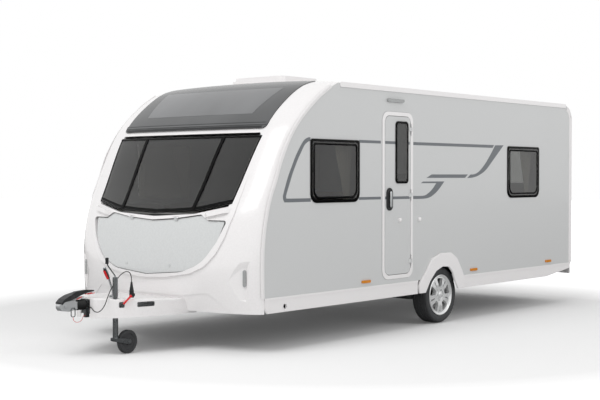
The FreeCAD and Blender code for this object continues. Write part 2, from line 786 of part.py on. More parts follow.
# Lamps: rear clusters with a high brake lamp, white position lamps, amber side markers
LAMP_PLACE = {"inner": 0.745, "outer": 0.925, "foot": 0.14, "head": 0.275, "round": 35, "proud": 24}
BRAKE_LAMP = {"half": 160, "up": 0.88, "tall": 32, "round": 14, "proud": 18}
rear_lamp_layer = layer(REAR, LAMP_PLACE["proud"], seam)
rear_lamps = []
for sign in (1, -1):
    y0, y1 = sign * half_width * LAMP_PLACE["inner"], sign * half_width * LAMP_PLACE["outer"]
    z0, z1 = high(LAMP_PLACE["foot"]), high(LAMP_PLACE["head"])
    loop = [(y0, z0), (y1, z0), (y1, z1), (y0, z1)]
    if sign < 0:
        loop.reverse()
    rear_lamps.append(rear_lamp_layer.common(behind(loop, LAMP_PLACE["round"], roof_rear, half_width)))
brake_low, brake_high = [high(BRAKE_LAMP["up"]) + k * BRAKE_LAMP["tall"] / 2 for k in (-1, 1)]
half = BRAKE_LAMP["half"]
brake_loop = [(-half, brake_low), (half, brake_low), (half, brake_high), (-half, brake_high)]
brake_layer = layer(REAR, BRAKE_LAMP["proud"], seam)
rear_lamps.append(brake_layer.common(behind(brake_loop, BRAKE_LAMP["round"], roof_rear, half_width)))
shape_piece("rear_lamps", Part.makeCompound(rear_lamps))

AWNING_LAMP = {"middle": 950, "long": 280, "tall": 32, "below_eaves": 125, "proud": 22}
HIGH_LAMP = {"across": 0.95, "up": 0.962, "stalk": 8, "head": 15, "long": 34}
cheek_lamp = cheek_lamp.cut(front)
white_lamps = [cheek_lamp, mirrored(cheek_lamp)]
awning_z = eaves - AWNING_LAMP["below_eaves"]
a0, a1 = [AWNING_LAMP["middle"] + k * AWNING_LAMP["long"] / 2 for k in (-1, 1)]
z0, z1 = [awning_z + k * AWNING_LAMP["tall"] / 2 for k in (-1, 1)]
white_lamps.append(upright([(a0, z0), (a1, z0), (a1, z1), (a0, z1)], 14, half_width + seam,
                           AWNING_LAMP["proud"]))
for sign in (1, -1):
    corner = spot(rear_face, sign * HIGH_LAMP["across"] * half_width, high(HIGH_LAMP["up"]))
    stalk_ends = [(corner.x + 10, corner.y - sign * 4, corner.z),
                  (corner.x - 22, corner.y + sign * 18, corner.z)]
    stalk = rod(stalk_ends, HIGH_LAMP["stalk"])
    head = drum(corner.x - 26, corner.y + sign * 22, corner.z, HIGH_LAMP["head"], HIGH_LAMP["long"], FORWARD)
    white_lamps.append(stalk.fuse(head).cut(layer(REAR, 0, -shell_thick)).Solids[0])
shape_piece("marker_lamps", Part.makeCompound(white_lamps))

SIDE_MARKERS = [1440, -558, -2280]
MARKER = {"half_long": 70, "half_tall": 14, "round": 10, "proud": 12, "up": 50}
markers = []
marker_low, marker_high = [wall_foot + MARKER["up"] + k * MARKER["half_tall"] for k in (-1, 1)]
for x in SIDE_MARKERS:
    x0, x1 = x - MARKER["half_long"], x + MARKER["half_long"]
    loop = [(x0, marker_low), (x1, marker_low), (x1, marker_high), (x0, marker_high)]
    marker = upright(loop, MARKER["round"], half_width + seam, MARKER["proud"])
    markers += [marker, mirrored(marker)]
shape_piece("side_markers", Part.makeCompound(markers))

# Refrigerator vents on the far side, with louvres cut into them
VENTS = {"middle": 830, "wide": 420, "tall": 175, "low": 700, "up": 1150, "round": 18, "proud": 14}
LOUVRES = {"count": 6, "first": 28, "pitch": 21, "slot": 9, "end": 25, "round": 4}
vents = []
for foot in (VENTS["low"], VENTS["up"]):
    x0, x1 = VENTS["middle"] - VENTS["wide"] / 2, VENTS["middle"] + VENTS["wide"] / 2
    head = foot + VENTS["tall"]
    vent = upright([(x0, foot), (x1, foot), (x1, head), (x0, head)], VENTS["round"], half_width + seam,
                   VENTS["proud"])
    x0, x1 = x0 + LOUVRES["end"], x1 - LOUVRES["end"]
    for louvre in range(LOUVRES["count"]):
        z0 = foot + LOUVRES["first"] + louvre * LOUVRES["pitch"]
        z1 = z0 + LOUVRES["slot"]
        slot = upright([(x0, z0), (x1, z0), (x1, z1), (x0, z1)], LOUVRES["round"], half_width + 6,
                       2 * VENTS["proud"])
        vent = vent.cut(slot)
    vents.append(mirrored(vent))
shape_piece("fridge_vents", Part.makeCompound(vents))


# Roof: the same half ellipse as the top of the bowed ends
def half_ellipse(width, rise):
    ellipse = Part.Ellipse(Vector(width, eaves, 0), Vector(0, eaves + rise, 0), Vector(0, eaves, 0))
    return Part.ArcOfEllipse(ellipse, 0, math.pi)


HATCH = {"rear": 1080, "front": 1720, "half": 360, "curb": 50, "dome": 35, "land": 40, "step": 25,
         "round": 60}
roof_in = half_width - shell_thick


def hatch_loop(inset, radius):
    return rectangle(HATCH["rear"] + inset, inset - HATCH["half"], HATCH["front"] - inset,
                     HATCH["half"] - inset, radius)


roof = prism("roof_panel", "YZ_Plane",
             [[half_ellipse(half_width, crown), line((half_width, eaves), (roof_in, eaves)),
               half_ellipse(roof_in, crown - shell_thick), line((-half_width, eaves), (-roof_in, eaves))]],
             "Sizes.roof_rear", "Sizes.roof_front - Sizes.roof_rear")
pocket(roof, "XY_Plane", [hatch_loop(HATCH["land"], HATCH["round"] / 2)], "Sizes.eaves", "200")
hatch_foot = eaves + crown + seam
hatch = prism("roof_hatch", "XY_Plane", [hatch_loop(0, HATCH["round"])],
              "Sizes.eaves + Sizes.roof_crown + Sizes.seam", HATCH["curb"])
pad(hatch, "XY_Plane", [hatch_loop(HATCH["step"], HATCH["round"])], hatch_foot + HATCH["curb"],
    HATCH["dome"])

# Floor, its front edge kept just inside the front panel, with cut-outs for the wheel boxes
floor_rear = rear_wall + shell_thick + 5
nose = []
NOSE_BACK = {-0.97: 34, -0.8: 34, -0.5: 12, 0: 6, 0.5: 12, 0.8: 34, 0.97: 34}
for share, back in NOSE_BACK.items():
    y = share * (half_width - shell_thick)
    nose.append(Vector(min(spot(inner_face, y, z).x for z in (floor_foot, floor_top)) - back, y, 0))
nose_curve = Part.BSplineCurve()
nose_curve.interpolate(nose)
start, end = nose[0], nose[-1]
edge = [(end.x, end.y), (end.x - 60, inner_width), (floor_rear, inner_width), (floor_rear, -inner_width),
        (start.x - 60, -inner_width), (start.x, start.y)]
outline = [nose_curve] + [line(a, b) for a, b in zip(edge, edge[1:])]
floor = prism("floor_panel", "XY_Plane", [outline], floor_foot, "Sizes.floor_thick")
box_reach = arch_radius + 22
for sign in (1, -1):
    sides = sorted([sign * box_in, sign * 2 * half_width])
    pocket(floor, "XY_Plane", [rectangle(wheel_x - box_reach - 1, sides[0], wheel_x + box_reach + 1,
                                         sides[1])], floor_foot, 400)

# Wheel boxes over the floor
box_body = body_of("wheel_boxes")
BOX_SKIN = 6


def box_arc(reach):
    crest = Vector(wheel_x, floor_foot + 0.6 * reach, 0)
    return Part.Arc(Vector(wheel_x + reach, floor_foot, 0), crest, Vector(wheel_x - reach, floor_foot, 0))


def box_foot(x0, x1):
    return line((wheel_x + x0, floor_foot), (wheel_x + x1, floor_foot))


for side in ("left", "right"):
    at = seam - inner_width if side == "left" else box_in
    skin = [box_arc(box_reach), box_foot(box_reach, box_reach - BOX_SKIN),
            box_arc(box_reach - BOX_SKIN), box_foot(-box_reach, BOX_SKIN - box_reach)]
    pad(box_body, "XZ_Plane", [skin], at, inner_width - seam - box_in)
    closing = [box_arc(box_reach), box_foot(box_reach, -box_reach)]
    at = -box_in - BOX_SKIN if side == "left" else box_in
    pad(box_body, "XZ_Plane", [closing], at, BOX_SKIN)

# Awning rails along the eaves
RAIL = {"front": 30, "rear": 20, "above": 12, "below": 37, "proud": 9}
rails = body_of("awning_rails")
for at in (-half_width - RAIL["proud"], half_width):
    loop = rectangle(roof_rear - RAIL["rear"], eaves - RAIL["below"], roof_front - RAIL["front"],
                     eaves + RAIL["above"], 8)
    pad(rails, "XZ_Plane", [loop], at, RAIL["proud"])

# Door: frame, leaf, window and handle; three hinges at its rear edge
DOOR_PANE = {"rear": 726, "front": 947, "foot": 1510, "head": 2143}
DOOR_HANDLE = {"rear": 999, "front": 1102, "foot": 1237, "head": 1465}
hinge_x_door = size("door_rear") + size("door_rim")
hinge_y = half_width + size("hinge_out")
outer_y = half_width + size("door_proud")
HINGE_HEIGHTS = [door_foot + size("door_height") * share for share in (0.1, 0.5, 0.9)]
BARREL_LONG = 40
PANE_PROUD = 8
HANDLE_PROUD = 9
LEVER_PROUD = 22
frame_in = size("door_rim") + gap
outer_at = "-Sizes.half_width - Sizes.door_proud"
door_frame = prism("door_frame", "XZ_Plane", [door_loop(0), door_loop(size("door_rim"))], outer_at,
                   "Sizes.door_proud - Sizes.seam")
pad(door_frame, "XZ_Plane", [door_loop(size("door_rim") / 2 + seam), door_loop(size("door_rim"))],
    outer_at, "Sizes.wall_thick + Sizes.door_proud")
door_leaf = prism("door_leaf", "XZ_Plane", [door_loop(frame_in)], outer_at,
                  "Sizes.wall_thick + Sizes.door_proud")
pane_cut = rectangle(DOOR_PANE["rear"] + 14, DOOR_PANE["foot"] + 14, DOOR_PANE["front"] - 14,
                     DOOR_PANE["head"] - 14, 30)
pocket(door_leaf, "XZ_Plane", [pane_cut], "-Sizes.half_width", 200)
barrel, pin = size("barrel"), size("pin")
for z in HINGE_HEIGHTS:
    for low in (z - 1.5 * BARREL_LONG, z + 0.5 * BARREL_LONG + 1):
        pad(door_frame, "XY_Plane", [circle(hinge_x_door, hinge_y, barrel)], low, BARREL_LONG - 1)
        lug = [(hinge_x_door - 26, outer_y - 2), (hinge_x_door - 1, outer_y - 2),
               (hinge_x_door - 1, hinge_y + 2), (hinge_x_door - 7, hinge_y + 2)]
        pad(door_frame, "XY_Plane", [rounded(lug)], low, BARREL_LONG - 1)
    pad(door_frame, "XY_Plane", [circle(hinge_x_door, hinge_y, pin)], z - 1.5 * BARREL_LONG, 3 * BARREL_LONG)
    pad(door_leaf, "XY_Plane", [circle(hinge_x_door, hinge_y, barrel)], z - 0.5 * BARREL_LONG + 1,
        BARREL_LONG - 2)
    lug = [(hinge_x_door + 36, outer_y - 2), (hinge_x_door + 36, outer_y + 4),
           (hinge_x_door + 6, hinge_y + 4), (hinge_x_door + 5, hinge_y - 4),
           (hinge_x_door + 10, outer_y - 2)]
    pad(door_leaf, "XY_Plane", [rounded(lug)], z - 0.5 * BARREL_LONG + 1, BARREL_LONG - 2)
    pocket(door_leaf, "XY_Plane", [circle(hinge_x_door, hinge_y, pin + seam)], z, 2 * BARREL_LONG)
pane_loop = rectangle(DOOR_PANE["rear"], DOOR_PANE["foot"], DOOR_PANE["front"], DOOR_PANE["head"], 40)
prism("door_window", "XZ_Plane", [pane_loop], -outer_y - seam - PANE_PROUD, PANE_PROUD)
handle_loop = rectangle(DOOR_HANDLE["rear"], DOOR_HANDLE["foot"], DOOR_HANDLE["front"], DOOR_HANDLE["head"],
                        50)
handle = prism("door_handle", "XZ_Plane", [handle_loop], -outer_y - seam - HANDLE_PROUD, HANDLE_PROUD)
lever = rectangle(DOOR_HANDLE["rear"] + 31, DOOR_HANDLE["foot"] + 33,
                  DOOR_HANDLE["front"] - 40, DOOR_HANDLE["head"] - 35, 15)
pad(handle, "XZ_Plane", [lever], -outer_y - seam - LEVER_PROUD, LEVER_PROUD - HANDLE_PROUD + 1)

# Side windows
panes = body_of("side_windows_left")
for middle in SIDE_WINDOWS.values():
    pad(panes, "XZ_Plane", [window_loop(middle)], "-Sizes.half_width - Sizes.seam - Sizes.pane_thick",
        "Sizes.pane_thick")
panes = body_of("side_windows_right")
for loop in [window_loop(middle) for middle in SIDE_WINDOWS.values()] + [kitchen_loop()]:
    pad(panes, "XZ_Plane", [loop], "Sizes.half_width + Sizes.seam", "Sizes.pane_thick")

# Service doors on the far side, each hinged along its top edge
knuckle = SERVICE_HALF - SERVICE_ARM - 1
for name, door in SERVICE_DOORS.items():
    leaf = prism(name, "XZ_Plane", [service_loop(door, gap)], half_width - 18, 20)
    spots, top = service_hinges(door)
    for x in spots:
        pad(leaf, "YZ_Plane", [circle(-SERVICE_AXIS, top, SERVICE_BARREL - 1)], x - knuckle, 2 * knuckle)
        lug = [(-SERVICE_AXIS - 4, top), (-SERVICE_AXIS - 4, top - 20), (1 - half_width, top - 22),
               (1 - half_width, top - 8)]
        pad(leaf, "YZ_Plane", [rounded(lug)], x - knuckle, 2 * knuckle)
        pocket(leaf, "YZ_Plane", [circle(-SERVICE_AXIS, top, SERVICE_PIN + seam)], x, 2 * SERVICE_HALF)

# Skirts, each with a lip that stands out under the wall, an end cap and a rimmed hole for the steady's brace
arch_rear, arch_front = wheel_x - 384, wheel_x + 506
seam_foot = roof_front + FRONT["seam"][0][0]
CAP_LONG = 60
HOLE_AT = (2659, 51)
HOLE_RADIUS, HOLE_RIM = 24, 34
LIP_PROUD, CAP_PROUD, RIM_PROUD = 7, 5, 4
skirts = body_of("side_skirts")
skirt_thick = size("skirt_thick")
skirt_rear = rear_wall + 1
rear_rise = [(-2250, 0), (-2390, 17), (-2652, 48), (skirt_rear, 75)]
front_skirt = [(arch_front, skirt_foot), (seam_foot - 40, skirt_foot), (seam_foot - 1, skirt_foot + 45),
               (seam_foot - 1, wall_foot),
               (arch_front, wall_foot)]
rear_skirt = [(arch_rear, wall_foot), (skirt_rear, wall_foot)] + [(x, skirt_foot + rise) for x,
                                                                  rise in rear_rise[::-1]]
rear_skirt += [(arch_rear, skirt_foot)]
hole = (HOLE_AT[0], skirt_foot + HOLE_AT[1])


def on_face(body, sign, loops, proud):
    """Pad loops outwards from one side's face; sign -1 is the door side, as the plane's normal is -Y."""
    pad(body, "XZ_Plane", loops, -half_width - proud if sign < 0 else half_width, proud)


for sign in (-1, 1):
    at = -half_width if sign < 0 else half_width - skirt_thick
    pad(skirts, "XZ_Plane", [rounded(front_skirt), circle(*hole, HOLE_RADIUS)], at, skirt_thick)
    pad(skirts, "XZ_Plane", [rounded(rear_skirt)], at, skirt_thick)
    for x0, x1 in ((arch_front, seam_foot - 1), (skirt_rear, arch_rear)):
        on_face(skirts, sign, [rectangle(x0, skirt_top, x1, wall_foot)], LIP_PROUD)
    cap = [(seam_foot - CAP_LONG, skirt_foot + 6), (seam_foot - 42, skirt_foot + 6),
           (seam_foot - 6, skirt_foot + 48), (seam_foot - 6, skirt_top), (seam_foot - CAP_LONG, skirt_top)]
    on_face(skirts, sign, [rounded(cap)], CAP_PROUD)
    on_face(skirts, sign, [circle(*hole, HOLE_RIM), circle(*hole, HOLE_RADIUS)], RIM_PROUD)

# Wheel arch trims: a spat with sloping ends, its opening turned inwards as a flange
ARCH_OUTER = [(484, 477), (373, 575), (260, 711), (88, 761), (-108, 759), (-229, 691), (-331, 553),
              (-372, 473)]
ARCH_INNER = [(-251, 356), (-190, 442), (-139, 543), (-69, 607), (58, 615), (183, 574), (297, 475),
              (381, 359)]
ARCH_RADII = [60, 60, 60, 60, 60, 60, 60, 30]
ARCH_IN_RADII = [0, 60, 60, 50, 50, 60, 60, 0]
trim_rise = skirt_foot - 355


def arch_spot(point):
    return wheel_x + point[0], point[1] + trim_rise


trim_points = [arch_spot(p) for p in ARCH_OUTER + [(-380, 440), (-358, 356)] + ARCH_INNER
               + [(492, 359), (502, 440)]]
trim_radii = ARCH_RADII + [10, 0] + ARCH_IN_RADII + [0, 10]
spat = upright(trim_points, trim_radii, half_width + seam, size("arch_proud"))
outer_edges = [edge for edge in spat.Edges if edge.BoundBox.YMin > half_width + size("arch_proud") - 1
               and edge.BoundBox.ZMax > skirt_foot + 10]
spat = spat.makeFillet(6, outer_edges)
trims = [spat, mirrored(spat)]
shape_piece("arch_trims", Part.makeCompound(trims))

# Chassis frame: C sections deepest at the axle, joined by cross members
RAIL_DEEP_FROM, RAIL_DEEP_TO = -700, 500
RAIL_REAR, RAIL_FRONT = -2450, 1900
END_DEEP = {"rear": 70, "front": 93}
CROSS_AT = (-2300, -1200, 1500)
CROSS_WIDE, CROSS_DEEP = 50, 32
RAIL_HOLES = {"radius": 32, "pitch": 180}
flange, gauge = size("rail_flange"), size("rail_gauge")
rail_foot = floor_foot - size("rail_deep")
rail_y = size("rail_half_gauge")
drawbar_foot = size("drawbar_foot")
drawbar_top = drawbar_foot + size("drawbar_deep")


def rail_outline(inset):
    top = floor_foot - inset
    return [(RAIL_REAR, top), (RAIL_REAR, floor_foot - END_DEEP["rear"] + inset),
            (RAIL_DEEP_FROM, rail_foot + inset),
            (RAIL_DEEP_TO, rail_foot + inset), (RAIL_FRONT, floor_foot - END_DEEP["front"]
                                                + inset), (RAIL_FRONT, top)]


frame = body_of("main_frame")
for sign in (-1, 1):
    pad(frame, "XZ_Plane", [rounded(rail_outline(0))], -rail_y if sign < 0 else rail_y - flange, flange)
    at = sign * (rail_y - flange)
    pocket(frame, "XZ_Plane", [rounded(rail_outline(gauge))], at, 2 * (flange - gauge))
    spots = range(RAIL_DEEP_FROM + 100, RAIL_DEEP_TO, RAIL_HOLES["pitch"])
    holes = [circle(x, (rail_foot + floor_foot) / 2, RAIL_HOLES["radius"]) for x in spots]
    pocket(frame, "XZ_Plane", holes, at, 4 * flange)
crosses = [rectangle(x, gauge - rail_y, x + CROSS_WIDE, rail_y - gauge) for x in CROSS_AT]
pad(frame, "XY_Plane", crosses, floor_foot - gauge - CROSS_DEEP, CROSS_DEEP)

# Drawbar, running from the frame to the coupling
DRAWBAR_REAR = RAIL_FRONT - 50
BAR_WIDE = 50
tip = size("drawbar_tip")
tip_y = 92
housing_half = 41
housing_foot = drawbar_foot + 50
bend = RAIL_FRONT + 50
drawbar = body_of("drawbar")
wide = rail_y - flange
bar_slope = (wide - tip_y) / (tip - bend)
for sign in (1, -1):
    outer = [(DRAWBAR_REAR, wide), (bend, wide), (tip, tip_y), (tip, tip_y - BAR_WIDE),
             (bend, wide - BAR_WIDE),
             (DRAWBAR_REAR, wide - BAR_WIDE)]
    pad(drawbar, "XY_Plane", [rounded([(x, sign * y) for x, y in outer])], drawbar_foot,
        "Sizes.drawbar_deep")
    open_y = wide - BAR_WIDE - gauge
    inner = [(DRAWBAR_REAR - 10, wide - gauge), (bend - 1, wide - gauge), (tip + 10, tip_y - gauge - 2),
             (tip + 10, tip_y - BAR_WIDE - gauge), (bend - 2, open_y), (DRAWBAR_REAR - 10, open_y)]
    pocket(drawbar, "XY_Plane", [rounded([(x, sign * y) for x, y in inner])],
           (drawbar_foot + drawbar_top) / 2,
           size("drawbar_deep") - 2 * gauge)
pad(drawbar, "XY_Plane", [rectangle(tip - 30, -tip_y, tip + 4, tip_y)], drawbar_foot, 50)
BRACE = (2500, 2540)
brace = [(x, wide - gauge / 2 - bar_slope * (x - bend)) for x in BRACE]
brace += [(x, -y) for x, y in brace[::-1]]
pad(drawbar, "XY_Plane", [rounded(brace)], drawbar_foot + 20, 40)

# Axle tube with trailing arms and stub axles
flats = size("axle_flats")
lead = wheel_x + size("axle_lead")
tube_top = rail_foot - seam
tube_mid = tube_top - flats / 2
corner_radius = flats / math.sqrt(3)
hexagon = [(lead + corner_radius * math.cos(math.radians(60 * k)),
            tube_mid + corner_radius * math.sin(math.radians(60 * k)))
           for k in range(6)]
ARM_THICK, ARM_GAP = 35, 15
arm_in, arm_out = tyre_back - ARM_GAP - ARM_THICK, tyre_back - ARM_GAP
axle = prism("axle", "XZ_Plane", [rounded(hexagon, 8)], -arm_in, 2 * arm_in)
arm_side = [(wheel_x - 40, wheel_r - 32), (lead + 46, tube_mid - 40), (lead + 46, tube_mid + 40),
            (wheel_x - 40, wheel_r + 32)]
arm_loop = rounded(arm_side, 25)
stub_long = tyre_back - arm_out + 120
for sign in (-1, 1):
    pad(axle, "XZ_Plane", [arm_loop], -arm_out if sign < 0 else arm_in, arm_out - arm_in)
    stub = circle(wheel_x, wheel_r, size("stub_radius"))
    pad(axle, "XZ_Plane", [stub], -arm_out - stub_long if sign < 0 else arm_out, stub_long)

# Road wheels: tyre, alloy rim and brake drum turn together on the stub
RIM = size("rim_radius")
OUT, IN, R = tyre_face, tyre_back, wheel_r
BORE = size("stub_radius") + seam
HUB_FACE = 60
LUG_CIRCLE, LUG_HOLE = 56, 10
SPOKES = 5
HUB_RADIUS, HUB_LONG = 70, 45
drum_radius, drum_out = size("drum_radius"), OUT - HUB_FACE - HUB_LONG
drum_in = drum_out - size("drum_width")
SHOE_SKIN = 8
for side, sign in (("left", 1), ("right", -1)):
    place = ("Sizes.wheel_x", "0", "Sizes.tyre_radius")
    carcass = [(RIM, IN + 18), (RIM + 8, IN + 6), (RIM + 24, IN), (R - 40, IN), (R - 20, IN + 6),
               (R - 6, IN + 20), (R - 1, IN + 40), (R, (IN + OUT) / 2), (R - 1, OUT - 40), (R - 6, OUT - 20),
               (R - 20, OUT - 6), (R - 40, OUT), (RIM + 24, OUT), (RIM + 8, OUT - 6), (RIM, OUT - 18),
               (RIM - 12, OUT - 40), (RIM - 12, IN + 40)]
    turned("tyre_" + side, rounded([(r, sign * y) for r, y in carcass]), place)
    barrel_loop = [(RIM - seam, IN + 18), (RIM - 12 - seam, IN + 40), (RIM - 12 - seam, OUT - 40),
                   (RIM - seam, OUT - 18), (RIM + 3, OUT - 7), (RIM - 4, OUT - 3), (RIM - 12, OUT - 8),
                   (RIM - 24, OUT - 20), (120, OUT - 13), (66, OUT - 18), (60, OUT - 28), (42, OUT - 28),
                   (36, OUT - 14), (20, OUT - 12), (BORE, OUT - 14), (BORE, OUT - HUB_FACE),
                   (80, OUT - HUB_FACE), (130, OUT - 48), (RIM - 30, OUT - 52), (RIM - 22, IN + 50),
                   (RIM - 14, IN + 18)]
    rim = turned("rim_" + side, rounded([(r, sign * y) for r, y in barrel_loop]), place)
    through_at = -OUT if side == "left" else OUT
    between_spokes = rounded([(-22, 88), (22, 88), (58, RIM - 34), (-58, RIM - 34)], [16, 16, 18, 18])
    twin_gap = rounded([(-5, -104), (5, -104), (9, 40 - RIM), (-9, 40 - RIM)], 4)
    repeat(rim, pocket(rim, "XZ_Plane", [between_spokes], through_at, 4 * HUB_FACE), SPOKES)
    repeat(rim, pocket(rim, "XZ_Plane", [twin_gap], through_at, 4 * HUB_FACE), SPOKES)
    repeat(rim, pocket(rim, "XZ_Plane", [circle(0, -LUG_CIRCLE, LUG_HOLE)], through_at, 2 * 44), SPOKES)
    drum_loop = [(BORE, drum_out), (drum_radius - 20, drum_out), (drum_radius, drum_out - 12),
                 (drum_radius, drum_in),
                 (drum_radius + 10, drum_in), (drum_radius + 10, drum_in - SHOE_SKIN),
                 (drum_radius - SHOE_SKIN, drum_in - SHOE_SKIN), (drum_radius - SHOE_SKIN, drum_out - 12),
                 (BORE, drum_out - 12)]
    hub_out = OUT - HUB_FACE - seam
    hub = [(BORE, hub_out), (HUB_RADIUS, hub_out), (HUB_RADIUS, drum_out), (BORE, drum_out)]
    wheel_drum = turned("brake_drum_" + side, rounded([(r, sign * y) for r, y in drum_loop]), place)
    feature = wheel_drum.newObject("PartDesign::Revolution", "hub_turn_" + side)
    sketch = sketch_on(wheel_drum, "XY_Plane", [rounded([(r, sign * y) for r, y in hub])])
    feature.Profile = sketch
    feature.ReferenceAxis = (sketch, ["V_Axis"])
    feature.Angle = 360
    doc.recompute()

# Drawbar cover: a moulding with a sloping top, open below, carried by two webs on the drawbar
COVER_PLAN = [(3970, 115), (3810, 268), (3650, 356), (3300, 440), (3050, 468)]
COVER_ROUND = [40, 120, 200, 300, 0]
COVER_TOP = {"front": 146, "rear": 104}
COVER_SKIN = 4
COVER_EDGE = 14
WEB_AT = (3480, 3860)
TUBE_HOLE = 34
GRIP_SLOT = {"half_long": 85, "half_tall": 22, "round": 10, "up": 82}
CLAMP_HOLE = {"half": 26, "round": 14, "up": 84}
BOSS = {"radius": 32, "tall": 12, "proud": 8}
cover_foot = drawbar_foot - 32
cover_front, cover_rear = COVER_PLAN[0][0], COVER_PLAN[-1][0]


def cover_height(x, drop=0):
    share = (x - cover_rear) / (cover_front - cover_rear)
    return drawbar_foot + COVER_TOP["rear"] + share * (COVER_TOP["front"] - COVER_TOP["rear"]) - drop


def cover_block(inset):
    plan = [(x - (inset if x == cover_front else 0), y - inset) for x, y in COVER_PLAN]
    plan += [(x, -y) for x, y in plan[::-1]]
    block = flat(plan, COVER_ROUND + COVER_ROUND[::-1], cover_foot, 300)
    side_view = [(cover_rear - 100, cover_foot - 1), (cover_front + 100, cover_foot - 1),
                 (cover_front + 100, cover_height(cover_front + 100, inset)), (cover_rear - 100,
                                                                               cover_height(cover_rear - 100,
                                                                                            inset))]
    return block.common(upright(side_view, 0, -half_width, 2 * half_width))


apron_back = bowed_face(FRONT, ramp(seam - apron_step, 0), half_width).extrude(FORWARD * -half_width)
cover = cover_block(0).cut(apron_back)
top_edges = [edge for edge in cover.Edges if edge.BoundBox.ZMin > cover_height(cover_rear)
             and edge.BoundBox.XMax > 3300 and edge.BoundBox.YLength < 2 * half_width / 3]
cover = cover.makeFillet(COVER_EDGE, top_edges)
hollow = cover_block(COVER_SKIN)
for x in WEB_AT:
    hollow = hollow.cut(box(x, x + COVER_SKIN, -half_width, half_width, drawbar_top + seam,
                            cover_foot + 300))
cover = cover.cut(hollow)
jx, jy = size("jockey_x"), size("jockey_y")
cover = cover.cut(drum(jx, jy, drawbar_top, TUBE_HOLE, 300, UPWARD))
front_web = WEB_AT[1] - COVER_SKIN
cover = cover.cut(box(front_web, cover_front + 30, -64, 64, cover_foot, drawbar_top + 38))
cover = cover.cut(box(front_web, front_web + 12, -104, 104, cover_foot, drawbar_top + 9))
PLUG_AT = (3655, 258)
LEVER_SLOT = (3660, 3745, 18, 70)
cover = cover.cut(box(*LEVER_SLOT, 470, 600))
grip_frame = (Vector(3584, 370, drawbar_foot + GRIP_SLOT["up"]), Vector(-0.91, 0.415, 0), UPWARD)
grip_long, grip_tall = GRIP_SLOT["half_long"], GRIP_SLOT["half_tall"]
for depth in (-80, 80):
    grip_slot = slab(rectangle(-grip_long, -grip_tall, grip_long, grip_tall, GRIP_SLOT["round"]), grip_frame,
                     depth)
    cover = cover.cut([grip_slot, mirrored(grip_slot)])
clamp_frame = (Vector(3788, 278, drawbar_foot + CLAMP_HOLE["up"]), Vector(-0.872, 0.49, 0), UPWARD)
hole_half = CLAMP_HOLE["half"]
for depth in (-60, 60):
    cover = cover.cut(slab(rectangle(-hole_half, -hole_half, hole_half, hole_half, CLAMP_HOLE["round"]),
                           clamp_frame, depth))
boss_top = cover_height(PLUG_AT[0]) + BOSS["proud"]
boss = drum(PLUG_AT[0], PLUG_AT[1], boss_top - BOSS["tall"] / 2, BOSS["radius"], BOSS["tall"], UPWARD)
cover = cover.fuse(boss)
shape_piece("drawbar_cover", max(cover.Solids, key=lambda solid: solid.Volume))

# Overrun housing and tube, bellows, coupling head with friction discs, and its handle
tube_z, tube_r = size("tube_z"), size("tube_radius")
ball_x, head_half = size("ball_x"), size("head_half")
HOUSING = (3640, 3985)
neck = ball_x - 140
housing = box(HOUSING[0], HOUSING[1], -housing_half, housing_half, housing_foot, tube_z + 37)
long_edges = [edge for edge in housing.Edges if edge.BoundBox.XLength > 300]
housing = housing.makeFillet(8, long_edges)
top_plate = box(3700, 3890, -100, 100, drawbar_top, drawbar_top + 8)
eye_plate = box(3936, 3976, -16, 16, housing_foot - 80, housing_foot)
draw_tube = rod([(HOUSING[1], 0, tube_z), (neck, 0, tube_z)], tube_r)
housing = housing.fuse([top_plate, eye_plate, draw_tube])
shape_piece("overrun_tube", housing.removeSplitter())

ribs = [(tube_r + seam, 0)]
RIB_COUNT = 6
bellows_long = neck - HOUSING[1] - 1
for k in range(RIB_COUNT):
    pitch = bellows_long / RIB_COUNT
    ribs += [(38, k * pitch + 1), (46, (k + 0.5) * pitch)]
ribs += [(38, bellows_long - 1), (tube_r + seam, bellows_long)]
ribs = [(HOUSING[1] + 0.5 + x, tube_z + r) for r, x in ribs]
bellows_face = Part.Face(Part.makePolygon([Vector(x, 0, z) for x, z in ribs + ribs[:1]]))
shape_piece("bellows", bellows_face.revolve(Vector(0, 0, tube_z), FORWARD, 360))

HEAD_SIDE = [(-139.7, -32), (-40, -47), (30, -36), (57, -9), (57, 13), (20, 38), (-70, 48), (-139.7, 32)]
head_loop = [(ball_x + x, tube_z + z) for x, z in HEAD_SIDE]
HEAD_RADII = [8, 20, 18, 12, 14, 25, 20, 8]
head = upright(head_loop, HEAD_RADII, -head_half, 2 * head_half)
head = head.common(flat([(neck, -34), (ball_x - 60, -head_half), (ball_x + 30, -head_half),
                         (ball_x + 60, -24), (ball_x + 60, 24),
                         (ball_x + 30, head_half), (ball_x - 60, head_half), (neck,
                                                                              34)], 10, tube_z - 200, 400))
STUB_LEVER = [(-104, 44), (-165, 66), (-222, 76), (-226, 63), (-178, 53), (-137, 50), (-125, 30)]
stub_lever = upright([(ball_x + x, tube_z + z) for x, z in STUB_LEVER], 3, -13, 26)
head = head.fuse([stub_lever, drum(ball_x - 8, 0, tube_z + 4, 20, 2 * head_half + 12)])
for sign in (-1, 1):
    head = head.fuse(drum(ball_x - 8, sign * (head_half + 6), tube_z + 4, 9, 8))
head = head.cut(Part.makeSphere(size("ball_bore"), Vector(ball_x, 0, tube_z)))
head = head.cut(drum(ball_x, 0, tube_z - 40, size("ball_bore"), 80, UPWARD))
shape_piece("coupling_head", head.removeSplitter())

